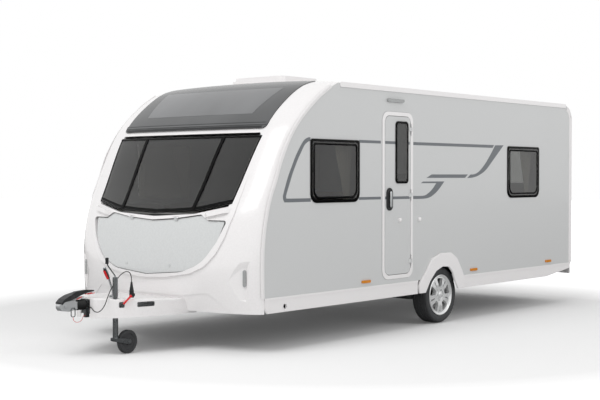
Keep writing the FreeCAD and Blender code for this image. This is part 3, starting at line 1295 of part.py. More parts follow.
HANDLE_SIDE = [(45, 12), (40, 40), (8, 68), (-47, 92), (-136, 121), (-248, 128), (-333, 121), (-344, 110),
               (-259, 102), (-191, 84),
               (-128, 62), (-60, 50), (10, 40)]
HANDLE_RADII = [6, 6, 20, 40, 40, 40, 5, 5, 40, 40, 40, 20, 8]
grip = upright([(ball_x + x, tube_z + z) for x, z in HANDLE_SIDE], HANDLE_RADII, -head_half - 8,
               2 * head_half + 16)
grip = grip.common(flat([(ball_x - 400, -17), (ball_x - 120, -19), (ball_x - 60, -head_half - 6),
                         (ball_x + 60, -head_half - 6),
                         (ball_x + 60, head_half + 6), (ball_x - 60, head_half + 6), (ball_x - 120,
                                                                                      19), (ball_x - 400,
                                                                                            17)],
                        12, tube_z - 50, 400))
shape_piece("coupling_handle", max(grip.cut(head).Solids, key=lambda solid: solid.Volume))

# Handbrake: a lever on a foot that stands on the housing, through the slot in the cover
brake_foot = tube_z + 37
BRAKE = [(3690, 46, 18), (3694, 48, 60), (3748, 50, 200)]
brake_points = [(x, y, brake_foot + z) for x, y, z in BRAKE]
BRAKE_ROD, BRAKE_GRIP = 9, 14
grip_end = (3787, 50, brake_foot + 272)
lever = rod(brake_points, BRAKE_ROD).fuse(rod([brake_points[-1], grip_end], BRAKE_GRIP))
lever = lever.fuse(Part.makeSphere(BRAKE_GRIP, Vector(*grip_end)))
foot_block = box(3672, 3712, 22, 58, brake_foot, brake_foot + 26)
foot_block = foot_block.cut(box(3600, 3800, housing_half, 60, brake_foot - 1, brake_foot + 8))
shape_piece("handbrake_lever", lever.fuse(foot_block))

# Jockey wheel: the tube slides in its clamp, the fork swivels in the tube and the wheel turns in the fork
clamp_foot = drawbar_foot + 38
tube_out = size("jockey_tube")
tube_foot = size("jockey_wheel") + 79
bar_y = tip_y + (tip - jx) * bar_slope
CLAMP = {"radius": 31, "tall": 40, "rod": 6}
clamp_r = CLAMP["radius"]
foot_plan = [(jx - 45, bar_y + 45 * bar_slope + seam), (jx + clamp_r, bar_y - clamp_r * bar_slope + seam),
             (jx + clamp_r, jy), (jx - clamp_r, jy)]
ring = drum(jx, jy, clamp_foot + CLAMP["tall"] / 2, clamp_r, CLAMP["tall"], UPWARD)
clamp = flat(foot_plan, 0, clamp_foot, CLAMP["tall"]).fuse(ring)
screw_z = clamp_foot + 22
screw = [(jx - 20, jy + 28, screw_z), (jx - 26, jy + 84, screw_z + 36), (jx - 80, jy + 116, screw_z + 102)]
clamp = clamp.fuse(rod(screw, CLAMP["rod"]))
shape_piece("jockey_clamp", clamp.cut(drum(jx, jy, clamp_foot, tube_out + 2 * seam, 200, UPWARD)))

# The fork's stem ends low enough in the tube to stay under the cover's top when the wheel is wound right up
STEM = {"foot": -40, "head": 156, "radius": 15}
COLLAR_TALL = 36
TUBE_BORE = 20
CRANK_ROD, KNOB_RADIUS, KNOB_LONG = 6, 13, 50
JOCKEY_PIN = 6
cheek_in, cheek_thick = 33, 5
jockey_top = size("jockey_top")
tube = drum(jx, jy, (tube_foot + jockey_top) / 2, tube_out, jockey_top - tube_foot, UPWARD)
tube = tube.cut(drum(jx, jy, tube_foot + 100, TUBE_BORE, 400, UPWARD))
crank = [(jx, jy, jockey_top - 2), (jx + 4, jy, jockey_top + 14), (jx + 84, jy, jockey_top + 106),
         (jx + 94, jy, jockey_top + 130)]
knob = drum(jx + 95, jy, jockey_top + 150, KNOB_RADIUS, KNOB_LONG, UPWARD)
knob = knob.makeFillet(5, [edge for edge in knob.Edges if edge.BoundBox.ZMin > jockey_top + 170])
shape_piece("jockey_tube", tube.fuse([rod(crank, CRANK_ROD), knob]))
JW = size("jockey_wheel")
axle_at = jx - size("jockey_trail")
collar = drum(jx, jy, tube_foot - seam - COLLAR_TALL / 2, tube_out, COLLAR_TALL, UPWARD)
stem_long = STEM["head"] - STEM["foot"]
stem = drum(jx, jy, tube_foot + STEM["foot"] + stem_long / 2, STEM["radius"], stem_long, UPWARD)
fork = collar.fuse(stem)
for y in (jy + cheek_in, jy - cheek_in - cheek_thick):
    plate_side = [(jx + 24, tube_foot - 40), (jx - 30, tube_foot - 30), (axle_at - 18, JW + 20),
                  (axle_at - 18, JW - 16), (axle_at + 20, JW - 16), (jx + 24, tube_foot - 62)]
    plate = upright(plate_side, [4, 20, 14, 14, 14, 6], y, cheek_thick)
    fork = fork.fuse(plate)
cheek_out = cheek_in + cheek_thick
fork = fork.fuse(box(jx - 30, jx + 24, jy - cheek_out, jy + cheek_out, tube_foot - 54, tube_foot - 34))
fork = fork.fuse(drum(axle_at, jy, JW, JOCKEY_PIN, 2 * cheek_out + 8))
shape_piece("jockey_fork", fork.removeSplitter())
half_section = [(JW, 16), (JW - 6, 24), (JW - 29, 22), (JW - 35, 14), (32, 14), (26, 28),
                (JOCKEY_PIN + seam, 28)]
section = [(r, -y) for r, y in reversed(half_section)] + half_section
turned("jockey_wheel", rounded(section), ("Sizes.jockey_x - Sizes.jockey_trail", "Sizes.jockey_y",
                                          "Sizes.jockey_wheel"))

# Corner steadies, folded up sideways under the floor
STEADY = {"half": 30, "skin": 4, "deep": 36, "pin": 8, "foot_half": 45, "foot_thick": 14, "bracket": 45}
near = size("steady_in")
reach = half_width - near - 195
pivot_z = floor_foot - size("steady_drop")
mounts = []
for name, x in (("front", size("steady_front")), ("rear", size("steady_rear"))):
    for side in ("left", "right"):
        half, deep = STEADY["bracket"], STEADY["deep"] / 2
        mount = box(x - half, x + half, near - 40, near + 300, floor_foot - 8, floor_foot - seam)
        for x0 in (x - half, x + half - STEADY["skin"]):
            mount = mount.fuse(box(x0, x0 + STEADY["skin"], near - 30, near + 30, pivot_z - 20,
                                   floor_foot - 8))
        mount = mount.fuse(drum(x, near, pivot_z, STEADY["pin"], 2 * half, FORWARD))
        half, skin = STEADY["half"], STEADY["skin"]
        leg = box(x - half, x + half, near, near + reach, pivot_z - deep, pivot_z + deep)
        trough = box(x - half + skin, x + half - skin, near - 40, near + reach + 20, pivot_z - deep + skin,
                     floor_foot)
        leg = leg.cut(trough).fuse(drum(x, near, pivot_z, deep, 2 * half, FORWARD))
        leg = leg.cut(drum(x, near, pivot_z, STEADY["pin"] + seam, 100, FORWARD))
        half, thick = STEADY["foot_half"], STEADY["foot_thick"]
        foot_side = [(x - half, pivot_z - 46), (x + half, pivot_z - 46), (x + half, pivot_z + 18),
                     (x - half, pivot_z + 18)]
        leg = leg.fuse(upright(foot_side, 6, near + reach - thick, thick))
        if side == "right":
            mount, leg = mirrored(mount), mirrored(leg)
        mounts.append(mount.removeSplitter())
        shape_piece("steady_leg_%s_%s" % (name, side), leg.removeSplitter())
shape_piece("steady_mounts", Part.makeCompound(mounts))


# Cables: straight runs with tangent arcs between them, swept with a round section
def cord(points, diameter):
    points = [Vector(*p) for p in points]
    edges, last = [], points[0]
    for before, corner, after in zip(points, points[1:], points[2:]):
        a, b = before - corner, after - corner
        half = a.getAngle(b) / 2
        cut = 0.45 * min(a.Length, b.Length)
        first, final = corner + a.normalize() * cut, corner + b.normalize() * cut
        radius = cut * math.tan(half)
        centre = corner + (a + b).normalize() * (cut / math.cos(half))
        middle = centre + (corner - centre).normalize() * radius
        print("cord of %g: bend %.1f" % (diameter, radius))
        edges.append(Part.makeLine(last, first))
        edges.append(Part.Arc(first, middle, final).toShape())
        last = final
    edges.append(Part.makeLine(last, points[-1]))
    path = Part.Wire(edges)
    section = Part.Wire(Part.makeCircle(diameter / 2, points[0], points[1] - points[0]))
    return path.makePipeShell([section], True, False)


plug_x, plug_y = PLUG_AT
CABLE_ROUTE = [(3978, housing_half, 432), (3978, 92, 432), (3992, 148, 392), (3980, 204, 392),
               (3940, 222, 440),
               (3906, 214, 496), (3864, 196, 548), (3810, 168, 594), (3752, 160, 648), (3712, 172, 704),
               (3672, 214, 738), (3655, 258, 712), (3655, 258, 640)]
shape_piece("trailer_cable", cord(CABLE_ROUTE, size("cable")))
plug = drum(plug_x, plug_y, boss_top + 32, 21, 64, UPWARD)
boot = Part.makeCone(19, 8, 640 - boss_top - 64, Vector(plug_x, plug_y, boss_top + 64), UPWARD)
cap = drum(plug_x + 8, plug_y + 26, boss_top + 26, 19, 12, Vector(0.6, 0.8, 0))
shape_piece("trailer_plug", plug.fuse([boot, cap]))
CLIP = {"rear": 4115, "front": 4164, "foot": 352, "head": 435, "bar": 6, "round": 18}
clip_y = head_half + seam
clip_mid = (CLIP["rear"] + CLIP["front"]) / 2
bar = CLIP["bar"]


def clip_block(inset, y, depth):
    x0, x1, z0, z1 = CLIP["rear"] + inset, CLIP["front"] - inset, CLIP["foot"] + inset, CLIP["head"] - inset
    return upright([(x0, z0), (x1, z0), (x1, z1), (x0, z1)], CLIP["round"] - inset, y, depth)


shape_piece("breakaway_clip", clip_block(0, clip_y, bar).cut(clip_block(bar, 0, half_width)))
RED_ROUTE = [(clip_mid, clip_y + bar / 2, CLIP["foot"]), (clip_mid, clip_y + bar / 2, 322), (4108, 44, 302),
             (4060, 40, 304), (4020, 24, 326), (4002, 8, 352), (3976, 8, 352)]
shape_piece("breakaway_cable", cord(RED_ROUTE, size("red_cord")))

# Inside: gas locker bulkhead, seat boxes, kitchen and bed, with their cushions
BULKHEAD_X, BULKHEAD_TOP, SHELF_FRONT = 2720, 1225, 3040
AISLE_HALF = 520
SEAT_REAR, SEAT_TOP = 1260, 880
BED = {"rear": -2780, "front": -1000, "side": -300, "top": 900, "panel": 20}
CUSHION_DEEP, BACK_DEEP, BACK_TOP = 140, 130, 1300
KITCHEN = {"rear": -560, "front": 520, "inner": -560, "top": 1400}
inside = inner_width - seam
shelf = box(BULKHEAD_X, SHELF_FRONT, -0.66 * half_width, 0.66 * half_width, BULKHEAD_TOP, BULKHEAD_TOP + 15)
bulkhead = box(BULKHEAD_X, BULKHEAD_X + 18, -inside, inside, floor_top + seam, BULKHEAD_TOP).fuse(shelf)
shape_piece("gas_locker_bulkhead", bulkhead)
furniture, cushions = [], []
seat_wide = inside - AISLE_HALF
for sign in (1, -1):
    seat = box(SEAT_REAR, BULKHEAD_X - seam, AISLE_HALF, inside, floor_top + seam, SEAT_TOP)
    pad_shape = box(SEAT_REAR + 10, BULKHEAD_X - 20, AISLE_HALF + 10, inside - 7, SEAT_TOP + seam,
                    SEAT_TOP + CUSHION_DEEP)
    back = box(SEAT_REAR + 10, BULKHEAD_X - 20, inside - 7 - BACK_DEEP, inside - 7, SEAT_TOP + CUSHION_DEEP,
               BACK_TOP)
    cushion = pad_shape.fuse(back)
    furniture.append(seat if sign > 0 else mirrored(seat))
    cushions.append(cushion if sign > 0 else mirrored(cushion))
kitchen = box(KITCHEN["rear"], KITCHEN["front"], -inside, KITCHEN["inner"], floor_top + seam, KITCHEN["top"])
clear_loop = [box_arc(box_reach + 8), box_foot(box_reach + 8, -box_reach - 8)]
clear_box = slab(clear_loop, (Vector(0, -box_in + 20, 0), FORWARD, UPWARD), half_width)
furniture.append(kitchen.cut(clear_box))
bed_top = box(BED["rear"], BED["front"], BED["side"], inside, BED["top"] - BED["panel"], BED["top"])
bed_front = box(BED["front"] - BED["panel"], BED["front"], BED["side"], inside, floor_top + seam, BED["top"])
bed_side = box(BED["rear"], BED["front"], BED["side"], BED["side"] + BED["panel"], floor_top + seam,
               BED["top"])
furniture.append(bed_top.fuse([bed_front, bed_side]))
cushions.append(box(BED["rear"], BED["front"], BED["side"], inside - 7, BED["top"] + seam, BED["top"] + 150))
shape_piece("furniture", Part.makeCompound(furniture))
shape_piece("cushions", Part.makeCompound(cushions))

# Checks
doc.recompute()
for obj in doc.Objects:
    if "Invalid" in obj.State or "Error" in obj.State:
        raise RuntimeError("%s did not compute" % obj.Label)
    if obj.isDerivedFrom("Part::Feature") and (obj.Shape.isNull() or not obj.Shape.isValid()):
        raise RuntimeError("%s is not a good shape" % obj.Label)
for piece in pieces:
    piece.Shape.exportStep("parts/%s.step" % piece.Label)
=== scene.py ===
# %% [markdown]
# # Dressing a touring caravan
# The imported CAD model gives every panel, window and running part its place and its size. This lesson
# adds what CAD leaves out: finishes, vinyl stripes, window prints, curtains and cushions, the tyres'
# tread, cables and small fittings. Everything is in metres, +X forward, +Y to the door's side, +Z up.

# %% Load the frame
import bpy
import math
import numpy as np
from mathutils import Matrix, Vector
from mathutils.bvhtree import BVHTree


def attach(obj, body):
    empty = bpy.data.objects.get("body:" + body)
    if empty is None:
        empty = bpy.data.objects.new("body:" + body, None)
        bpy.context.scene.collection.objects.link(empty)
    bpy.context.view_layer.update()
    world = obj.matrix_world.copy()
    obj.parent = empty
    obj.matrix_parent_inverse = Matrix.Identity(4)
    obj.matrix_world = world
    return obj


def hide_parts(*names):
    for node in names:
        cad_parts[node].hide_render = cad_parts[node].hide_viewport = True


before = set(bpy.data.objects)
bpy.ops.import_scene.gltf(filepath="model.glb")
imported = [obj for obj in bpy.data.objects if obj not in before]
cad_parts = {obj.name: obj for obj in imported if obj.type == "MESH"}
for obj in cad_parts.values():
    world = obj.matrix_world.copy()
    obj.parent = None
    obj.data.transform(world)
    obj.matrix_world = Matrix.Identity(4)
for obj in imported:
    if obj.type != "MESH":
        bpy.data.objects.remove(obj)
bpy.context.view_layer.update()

# %% [markdown]
# Sizes are easiest to read in millimetres, with x counted from near the axle. One function turns them
# into the frame's metres, for single numbers and for whole arrays. The body's own measures come back in
# most cells: half its width, the height of its lower edge and its height above that.

# %% Millimetres to the frame
ZERO_X = -0.644
HALF = 1205
FOOT_Z, TALL = 355, 2120
SIDES = (("left", 1), ("right", -1))


def place(x, y, z):
    """Points (x / 1000 + ZERO_X, y / 1000, z / 1000) on a new last axis, from numbers or arrays."""
    x, y, z = np.broadcast_arrays(*[np.asarray(part, float) / 1000 for part in (x, y, z)])
    return np.stack([x + ZERO_X, y, z], -1)


print("the coupling's ball is at", np.round(place(4220, 0, 430), 3).tolist())

# %% [markdown]
# ## Meshes worked out with numpy
# Most pieces here are rings of points: a moulding is its section carried along a line, and a turned piece
# is a circle for each point of its profile. So one function that skins rings makes nearly everything, and
# a second one makes open sheets for cloth.

# %% Skin rings and sheets
def mesh_of(name, points, faces, sharp=35):
    """A mesh with smooth shading, but with edges kept crisp where faces meet at more than sharp degrees."""
    mesh = bpy.data.meshes.new(name)
    mesh.from_pydata(points.tolist(), [], faces)
    mesh.validate()
    mesh.shade_smooth()
    mesh.set_sharp_from_angle(angle=math.radians(sharp))
    return mesh


def skin(name, rings, loop=False, sharp=35):
    """A closed skin over rings, an array (ring, point, xyz), each ring joined to the next point by point.

    The first and last ring are closed by a face each, or with loop they are joined to each other. The sum of
    a . (b x c) over all triangles is six times the volume; where it is negative every face is turned round.
    """
    n, k = rings.shape[:2]
    i = np.arange(n if loop else n - 1)[:, None]
    j = np.arange(k)[None, :]
    after = (i + 1) % n
    quads = np.stack([i * k + j, i * k + (j + 1) % k, after * k + (j + 1) % k, after * k + j], -1)
    faces = quads.reshape(-1, 4).tolist()
    if not loop:
        faces += [list(range(k))[::-1], list(range((n - 1) * k, n * k))]
    points = rings.reshape(-1, 3)
    centred = points - points.mean(0)
    fans = np.array([(f[0], f[m], f[m + 1]) for f in faces for m in range(1, len(f) - 1)])
    a, b, c = centred[fans[:, 0]], centred[fans[:, 1]], centred[fans[:, 2]]
    if np.einsum("ij,ij->", a, np.cross(b, c)) < 0:
        faces = [f[::-1] for f in faces]
    return mesh_of(name, points, faces, sharp)


def cloth_mesh(name, grid):
    """An open sheet over a grid (row, column, xyz), with rows and columns as its own UV map, in metres."""
    n, m = grid.shape[:2]
    i, j = np.arange(n - 1)[:, None], np.arange(m - 1)[None, :]
    quads = np.stack([i * m + j, i * m + j + 1, (i + 1) * m + j + 1, (i + 1) * m + j], -1).reshape(-1, 4)
    mesh = mesh_of(name, grid.reshape(-1, 3), quads.tolist(), 180)
    steps_u = np.linalg.norm(np.diff(grid, axis=1), axis=2).mean(0)
    steps_v = np.linalg.norm(np.diff(grid, axis=0), axis=2).mean(1)
    u = np.concatenate([[0], np.cumsum(steps_u)])
    v = np.concatenate([[0], np.cumsum(steps_v)])
    uv = np.stack(np.meshgrid(u, v), -1).reshape(-1, 2)
    corners = np.zeros(len(mesh.loops), np.int32)
    mesh.loops.foreach_get("vertex_index", corners)
    layer = mesh.uv_layers.new(name="weave")
    layer.data.foreach_set("uv", uv[corners].astype(np.float32).ravel())
    return mesh


# %% [markdown]
# A mesh becomes a piece when it gets a finish and a body to ride on. Meshes of one finish that never
# part, such as bolts, are joined into one piece.

# %% Make pieces
def piece(name, mesh, material, body="caravan"):
    """Make the mesh an object of the scene with one finish, riding on a body."""
    made = bpy.data.objects.new(name, mesh)
    bpy.context.scene.collection.objects.link(made)
    mesh.materials.append(material)
    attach(made, body)
    return made


def joined(name, meshes, material, body="caravan"):
    """One object from several separate meshes of the same finish."""
    starts = np.cumsum([0] + [len(m.vertices) for m in meshes])
    points, faces = [], []
    for mesh, start in zip(meshes, starts):
        part = np.zeros(len(mesh.vertices) * 3)
        mesh.vertices.foreach_get("co", part)
        points.append(part.reshape(-1, 3))
        faces += [[v + int(start) for v in f.vertices] for f in mesh.polygons]
    return piece(name, mesh_of(name, np.concatenate(points), faces), material, body)


# %% [markdown]
# ## Outlines
# Windows and covers are rounded boxes: four arcs joined by straight sides. A plate is an outline given a
# thickness, and a border is a section carried round it. The curved stripes need smooth lines through a
# few measured points, for which a Catmull-Rom spline is the simplest.

# %% Rounded boxes, plates and borders
def rounded_box(x0, z0, x1, z1, radii, steps=8):
    """Points (n, 2) round a box, with radii for its corners: low left, low right, top right, top left."""
    radii = np.broadcast_to(radii, 4)
    centres = np.array([(x0, z0), (x1, z0), (x1, z1), (x0, z1)], float)
    inward = np.array([(1, 1), (-1, 1), (-1, -1), (1, -1)])
    centres = centres + inward * radii[:, None]
    turn = np.linspace(0, math.pi / 2, steps)[None, :] + (math.pi + np.arange(4) * math.pi / 2)[:, None]
    arc = np.stack([np.cos(turn), np.sin(turn)], -1) * radii[:, None, None] + centres[:, None]
    return arc.reshape(-1, 2)


def smooth_line(points, per=8):
    """A Catmull-Rom spline: between b and c, half of 2b + (c-a)t + (2a-5b+4c-d)t^2 + (3b-a-3c+d)t^3."""
    p = np.asarray(points, float)
    p = np.concatenate([2 * p[:1] - p[1:2], p, 2 * p[-1:] - p[-2:-1]])
    a, b, c, d = p[:-3, None], p[1:-2, None], p[2:-1, None], p[3:, None]
    t = np.linspace(0, 1, per, endpoint=False)[None, :, None]
    cubic = (2 * a - 5 * b + 4 * c - d) * t ** 2 + (3 * b - a - 3 * c + d) * t ** 3
    curve = 0.5 * (2 * b + (c - a) * t + cubic)
    return np.concatenate([curve.reshape(-1, p.shape[1]), p[-2:-1]])


def side_plate(outline, y0, y1):
    """A plate on the caravan's side: its (x, z) outline at y0 and again at y1."""
    outline = np.asarray(outline, float)
    return skin("plate", np.array([place(outline[:, 0], y, outline[:, 1]) for y in (y0, y1)]))


def side_rings(outline, levels):
    """Rings of an (x, z) outline on the caravan's side: for each (shrink, y) it is drawn in all round."""
    middle = outline.mean(0)
    half = np.abs(outline - middle).max(0)
    rings = []
    for shrink, y in levels:
        x, z = ((outline - middle) * (1 - shrink / half) + middle).T
        rings.append(place(x, y, z))
    return np.array(rings)


def side_border(outline, levels):
    """A border on the caravan's side: a section of (shrink, y) points carried once round the outline."""
    return skin("border", side_rings(outline, levels), loop=True)


# %% [markdown]
# ## Camera
# The photograph was taken from the front left at eye height. The camera was solved from the tyres, the
# level ground line and the mirrored front, which gives a 70 mm lens about 13 m away.

# %% Set the camera
CAMERA = {"x": 10.6641, "y": 8.1264, "z": 1.5786, "yaw": 0.6999, "down": 0.0199, "lens": 70.21}
camera = bpy.data.objects.new("camera", bpy.data.cameras.new("camera"))
bpy.context.scene.collection.objects.link(camera)
bpy.context.scene.camera = camera
camera.data.lens = CAMERA["lens"]
camera.data.sensor_width = 36
camera.data.clip_end = 200
camera.location = (CAMERA["x"] + ZERO_X, CAMERA["y"], CAMERA["z"])
level_x = -math.cos(CAMERA["yaw"]) * math.cos(CAMERA["down"])
level_y = -math.sin(CAMERA["yaw"]) * math.cos(CAMERA["down"])
gaze = Vector((level_x, level_y, -math.sin(CAMERA["down"])))
camera.rotation_euler = gaze.to_track_quat("-Z", "Y").to_euler()
print("camera looks along", [round(part, 3) for part in gaze])

# %% [markdown]
# ## Colours and nodes
# Colours are written as hex values. Blender works in linear light, so one function converts them. A
# second one adds a node, sets it and links it in one call.

# %% Colour and node helpers
def paint(code, alpha=1.0):
    """sRGB hex to linear: c / 12.92 below 0.04045, otherwise ((c + 0.055) / 1.055) ^ 2.4."""
    parts = np.array([int(code[i:i + 2], 16) for i in (1, 3, 5)]) / 255
    linear = np.where(parts <= 0.04045, parts / 12.92, ((parts + 0.055) / 1.055) ** 2.4)
    return (*linear.tolist(), alpha)


def add(tree, kind, inputs=(), **settings):
    """Add a node: settings are its properties, and each input gets a value or the socket that feeds it."""
    made = tree.nodes.new(kind)
    for key, value in settings.items():
        setattr(made, key, value)
    for key, value in dict(inputs).items():
        if isinstance(value, bpy.types.NodeSocket):
            tree.links.new(value, made.inputs[key])
        else:
            made.inputs[key].default_value = value
    return made


def finish(name, colour, roughness=0.5, **sockets):
    """A new material with one Principled shader; returns the material, its node tree and the shader."""
    made = bpy.data.materials.new(name)
    made.use_nodes = True
    tree = made.node_tree
    shader = tree.nodes["Principled BSDF"]
    shader.inputs["Base Color"].default_value = paint(colour)
    shader.inputs["Roughness"].default_value = roughness
    for key, value in sockets.items():
        shader.inputs[key.replace("_", " ")].default_value = value
    made.diffuse_color = paint(colour)
    return made, tree, shader


# %% [markdown]
# A real surface is never one flat value. Gel coat shows a faint orange peel, moulded plastic a fine
# grain, a glued wall sheet a slight wave. Each is a noise at its real scale, in millimetres, that drives
# a bump and moves the roughness a little. Where the colour wavers too, it runs between two hex values.

# %% Give a finish its grain
def grain(tree, shader, size_mm, depth_mm, rough, stretch=(1, 1, 1)):
    """Noise with features of about size_mm: bump of depth_mm, and roughness between the values of rough."""
    where = add(tree, "ShaderNodeTexCoord").outputs["Object"]
    scaled = add(tree, "ShaderNodeMapping", {"Vector": where, "Scale": stretch}).outputs["Vector"]
    features = {"Vector": scaled, "Scale": 1000 / size_mm / 2, "Detail": 3.0}
    noise = add(tree, "ShaderNodeTexNoise", features).outputs["Fac"]
    bump = add(tree, "ShaderNodeBump", {"Height": noise, "Distance": depth_mm / 1000, "Strength": 0.6})
    tree.links.new(bump.outputs["Normal"], shader.inputs["Normal"])
    spread = add(tree, "ShaderNodeMapRange", {"Value": noise, "To Min": rough[0], "To Max": rough[1]})
    tree.links.new(spread.outputs["Result"], shader.inputs["Roughness"])
    return noise, scaled


def tint(tree, shader, fac, dark, light, low=0.35, high=0.65):
    """Colour that runs from dark to light as the pattern goes from low to high."""
    between = {"Value": fac, "From Min": low, "From Max": high}
    share = add(tree, "ShaderNodeMapRange", between).outputs["Result"]
    mix = add(tree, "ShaderNodeMix", {"Factor": share, "A": paint(dark), "B": paint(light)},
              data_type="RGBA")
    tree.links.new(mix.outputs["Result"], shader.inputs["Base Color"])


def surface(name, colour, size_mm, depth_mm, rough, tints=None, stretch=(1, 1, 1), **sockets):
    """A finish with its grain, and where tints are given with a colour that wavers between the two."""
    made, tree, shader = finish(name, colour, **sockets)
    noise, _ = grain(tree, shader, size_mm, depth_mm, rough, stretch)
    if tints:
        tint(tree, shader, noise, *tints)
    return made


# %% [markdown]
# ## Body finishes
# The ends, roof and fairings are glass fibre with a white gel coat: glossy, with an orange peel of about
# 8 mm that only shows in reflections. The walls are a smooth silver sheet on a foam core: a softer gloss,
# metal flake drawn coarser than life so that it tells, and long shallow waves where the sheet is glued.
# The locker lid is moulded like the front and sprayed grey. Skirts and wheel arches are vacuum-formed
# ABS, a little softer than the gel coat. The stripes are cast vinyl, thin and evenly satin.

# %% Body materials
gelcoat = surface("white_gelcoat", "#f1efef", 8, 0.02, (0.16, 0.28), ("#f0eeee", "#f3f1f1"),
                  Coat_Weight=0.35, Coat_Roughness=0.06)
wall_sheet, t, s = finish("silver_wall_sheet", "#c6c7c7", Coat_Weight=0.2, Coat_Roughness=0.1)
grain(t, s, 260, 0.25, (0.28, 0.36))
flake = add(t, "ShaderNodeTexNoise", {"Scale": 900.0, "Detail": 1.0})
tint(t, s, flake.outputs["Fac"], "#cbcccc", "#d4d5d5")
grey_gelcoat = surface("grey_gelcoat", "#d3d5d5", 8, 0.02, (0.16, 0.26), ("#d1d3d3", "#d6d8d8"),
                       Coat_Weight=0.35, Coat_Roughness=0.06)
white_abs = surface("white_abs", "#eeecec", 2.5, 0.03, (0.3, 0.4), ("#ebe9e9", "#f0eeee"))
vinyl = surface("cast_vinyl_grey", "#6f7377", 3, 0.01, (0.26, 0.36))
print("body finishes", len(bpy.data.materials))

# %% [markdown]
# ## Plastics, rubber and glass
# Caravan windows are tinted acrylic with a black printed border. Acrylic has an IOR of 1.49 and takes its
# tint all through, so the colour sits on a transmitting shader. Black plastics differ by how they were
# made: a nearly dull print round the panes, a fine moulded grain for grips and covers, a dead matt for
# rubber. The skylight is a smoked moulding with a clearer panel in it, and painted shade darkens its lip.

# %% Plastics and glass
acrylic, _, _ = finish("tinted_acrylic", "#9c9d9b", 0.02, Transmission_Weight=1.0, IOR=1.49,
                       Specular_IOR_Level=0.25)
clear_lens, _, _ = finish("clear_lens", "#c9cbcb", 0.1, Transmission_Weight=0.4, IOR=1.49)
printed_black = surface("printed_black", "#040404", 30, 0.01, (0.26, 0.34), Specular_IOR_Level=0.08)
smoked = surface("smoked_moulding", "#555657", 420, 0.3, (0.22, 0.3), ("#4f5051", "#5b5c5d"), (0.35, 1, 1))
smoked_clear = surface("smoked_panel", "#77787a", 700, 0.5, (0.18, 0.28), ("#6c6d6e", "#828385"),
                       (0.3, 1, 1))
# painted shade: the dark strips along the skylight's lip and its groove
lip_painted_shade = surface("skylight_painted_lip_shade", "#2b2c2d", 30, 0.02, (0.35, 0.45), Specular_IOR_Level=0.2)
moulded_black = surface("moulded_black", "#1b1c1d", 1.5, 0.05, (0.42, 0.58), ("#17181a", "#202224"))
moulded_red = surface("moulded_red", "#d8151b", 1.5, 0.03, (0.3, 0.4))
seal_rubber = surface("seal_rubber", "#1a1a1a", 4, 0.03, (0.62, 0.78))
sealant = surface("grey_sealant", "#8f9192", 6, 0.05, (0.55, 0.65))
amber = surface("amber_lens", "#d98a33", 6, 0.1, (0.12, 0.2), Coat_Weight=0.5)
red_lens = surface("red_lens", "#8d0d12", 6, 0.1, (0.1, 0.16), Coat_Weight=0.6)
tread_rubber = surface("tread_rubber", "#3b3c3d", 5, 0.06, (0.68, 0.84), ("#363738", "#424345"))
print("with plastics, rubber and glass", len(bpy.data.materials))

# %% [markdown]
# ## Metals
# The chassis is hot-dip galvanised: zinc crystals of 10 to 20 mm, called spangle, each a slightly
# different grey, which a Voronoi pattern gives. The coupling is cast and painted silver, small parts are
# zinc plated and brighter, and the wheel is cast aluminium, painted and lacquered, so it looks pale
# rather than mirrored. The brake drum is raw cast iron, brown and dull.

# %% Metals
galvanised, t, s = finish("galvanised_steel", "#9a9d9f", Metallic=0.85)
_, scaled = grain(t, s, 12, 0.02, (0.38, 0.55))
spangle = add(t, "ShaderNodeTexVoronoi", {"Vector": scaled, "Scale": 60.0})
tint(t, s, spangle.outputs["Color"], "#84888a", "#aeb1b3", 0.0, 1.0)
zinc_plate = surface("zinc_plate", "#9fa2a4", 5, 0.02, (0.22, 0.36), Metallic=1.0)
cast_silver = surface("cast_silver_paint", "#c9cbcc", 4, 0.12, (0.3, 0.42), Metallic=0.6)
alloy = surface("lacquered_alloy", "#ebecec", 3, 0.01, (0.18, 0.28), Metallic=0.3, Coat_Weight=0.6)
cast_iron = surface("cast_iron", "#3a3735", 5, 0.15, (0.55, 0.75), ("#2f2c2b", "#4a4340"), Metallic=0.6)
print("with metals", len(bpy.data.materials))

# %% [markdown]
# ## Inside
# Furniture in oak foil, woven upholstery, linen curtains and blinds show through the windows. The grain
# of the oak runs along the caravan, so its noise is stretched that way. The floor's plywood is painted
# with a dark preservative. Cloth shows its threads: a wave of about 7 mm on the covers, and a finer one
# across the curtains that follows their own UV map round every pleat.

# %% Interior materials
oak_foil = surface("oak_foil", "#a98a63", 60, 0.03, (0.38, 0.5), ("#8f7350", "#b6966d"), (0.12, 1, 1))
painted_ply = surface("painted_ply", "#2d2f30", 40, 0.2, (0.7, 0.85), ("#262829", "#37393a"), (0.1, 1, 1))
blind_cloth = surface("blind_cloth", "#a3a5a6", 20, 0.3, (0.8, 0.9), None, (0.05, 0.05, 1))
upholstery, t, s = finish("woven_upholstery", "#8b867c", 0.85, Sheen_Weight=0.4, Sheen_Roughness=0.4)
where = add(t, "ShaderNodeTexCoord").outputs["Object"]
weave = add(t, "ShaderNodeTexWave", {"Vector": where, "Scale": 60.0, "Distortion": 2.0},
            wave_type="BANDS", bands_direction="DIAGONAL").outputs["Fac"]
tint(t, s, weave, "#7a756b", "#98938a", 0.2, 0.8)
bump = add(t, "ShaderNodeBump", {"Height": weave, "Distance": 0.0008})
t.links.new(bump.outputs["Normal"], s.inputs["Normal"])
linen, t, s = finish("curtain_linen", "#efe8d9", 0.9, Sheen_Weight=0.3)
uv = add(t, "ShaderNodeUVMap", uv_map="weave").outputs["UV"]
threads = add(t, "ShaderNodeTexWave", {"Vector": uv, "Scale": 120.0, "Distortion": 1.0}, wave_type="BANDS")
tint(t, s, threads.outputs["Fac"], "#e6dfce", "#f4eee2", 0.1, 0.9)
print("with the interior", len(bpy.data.materials))

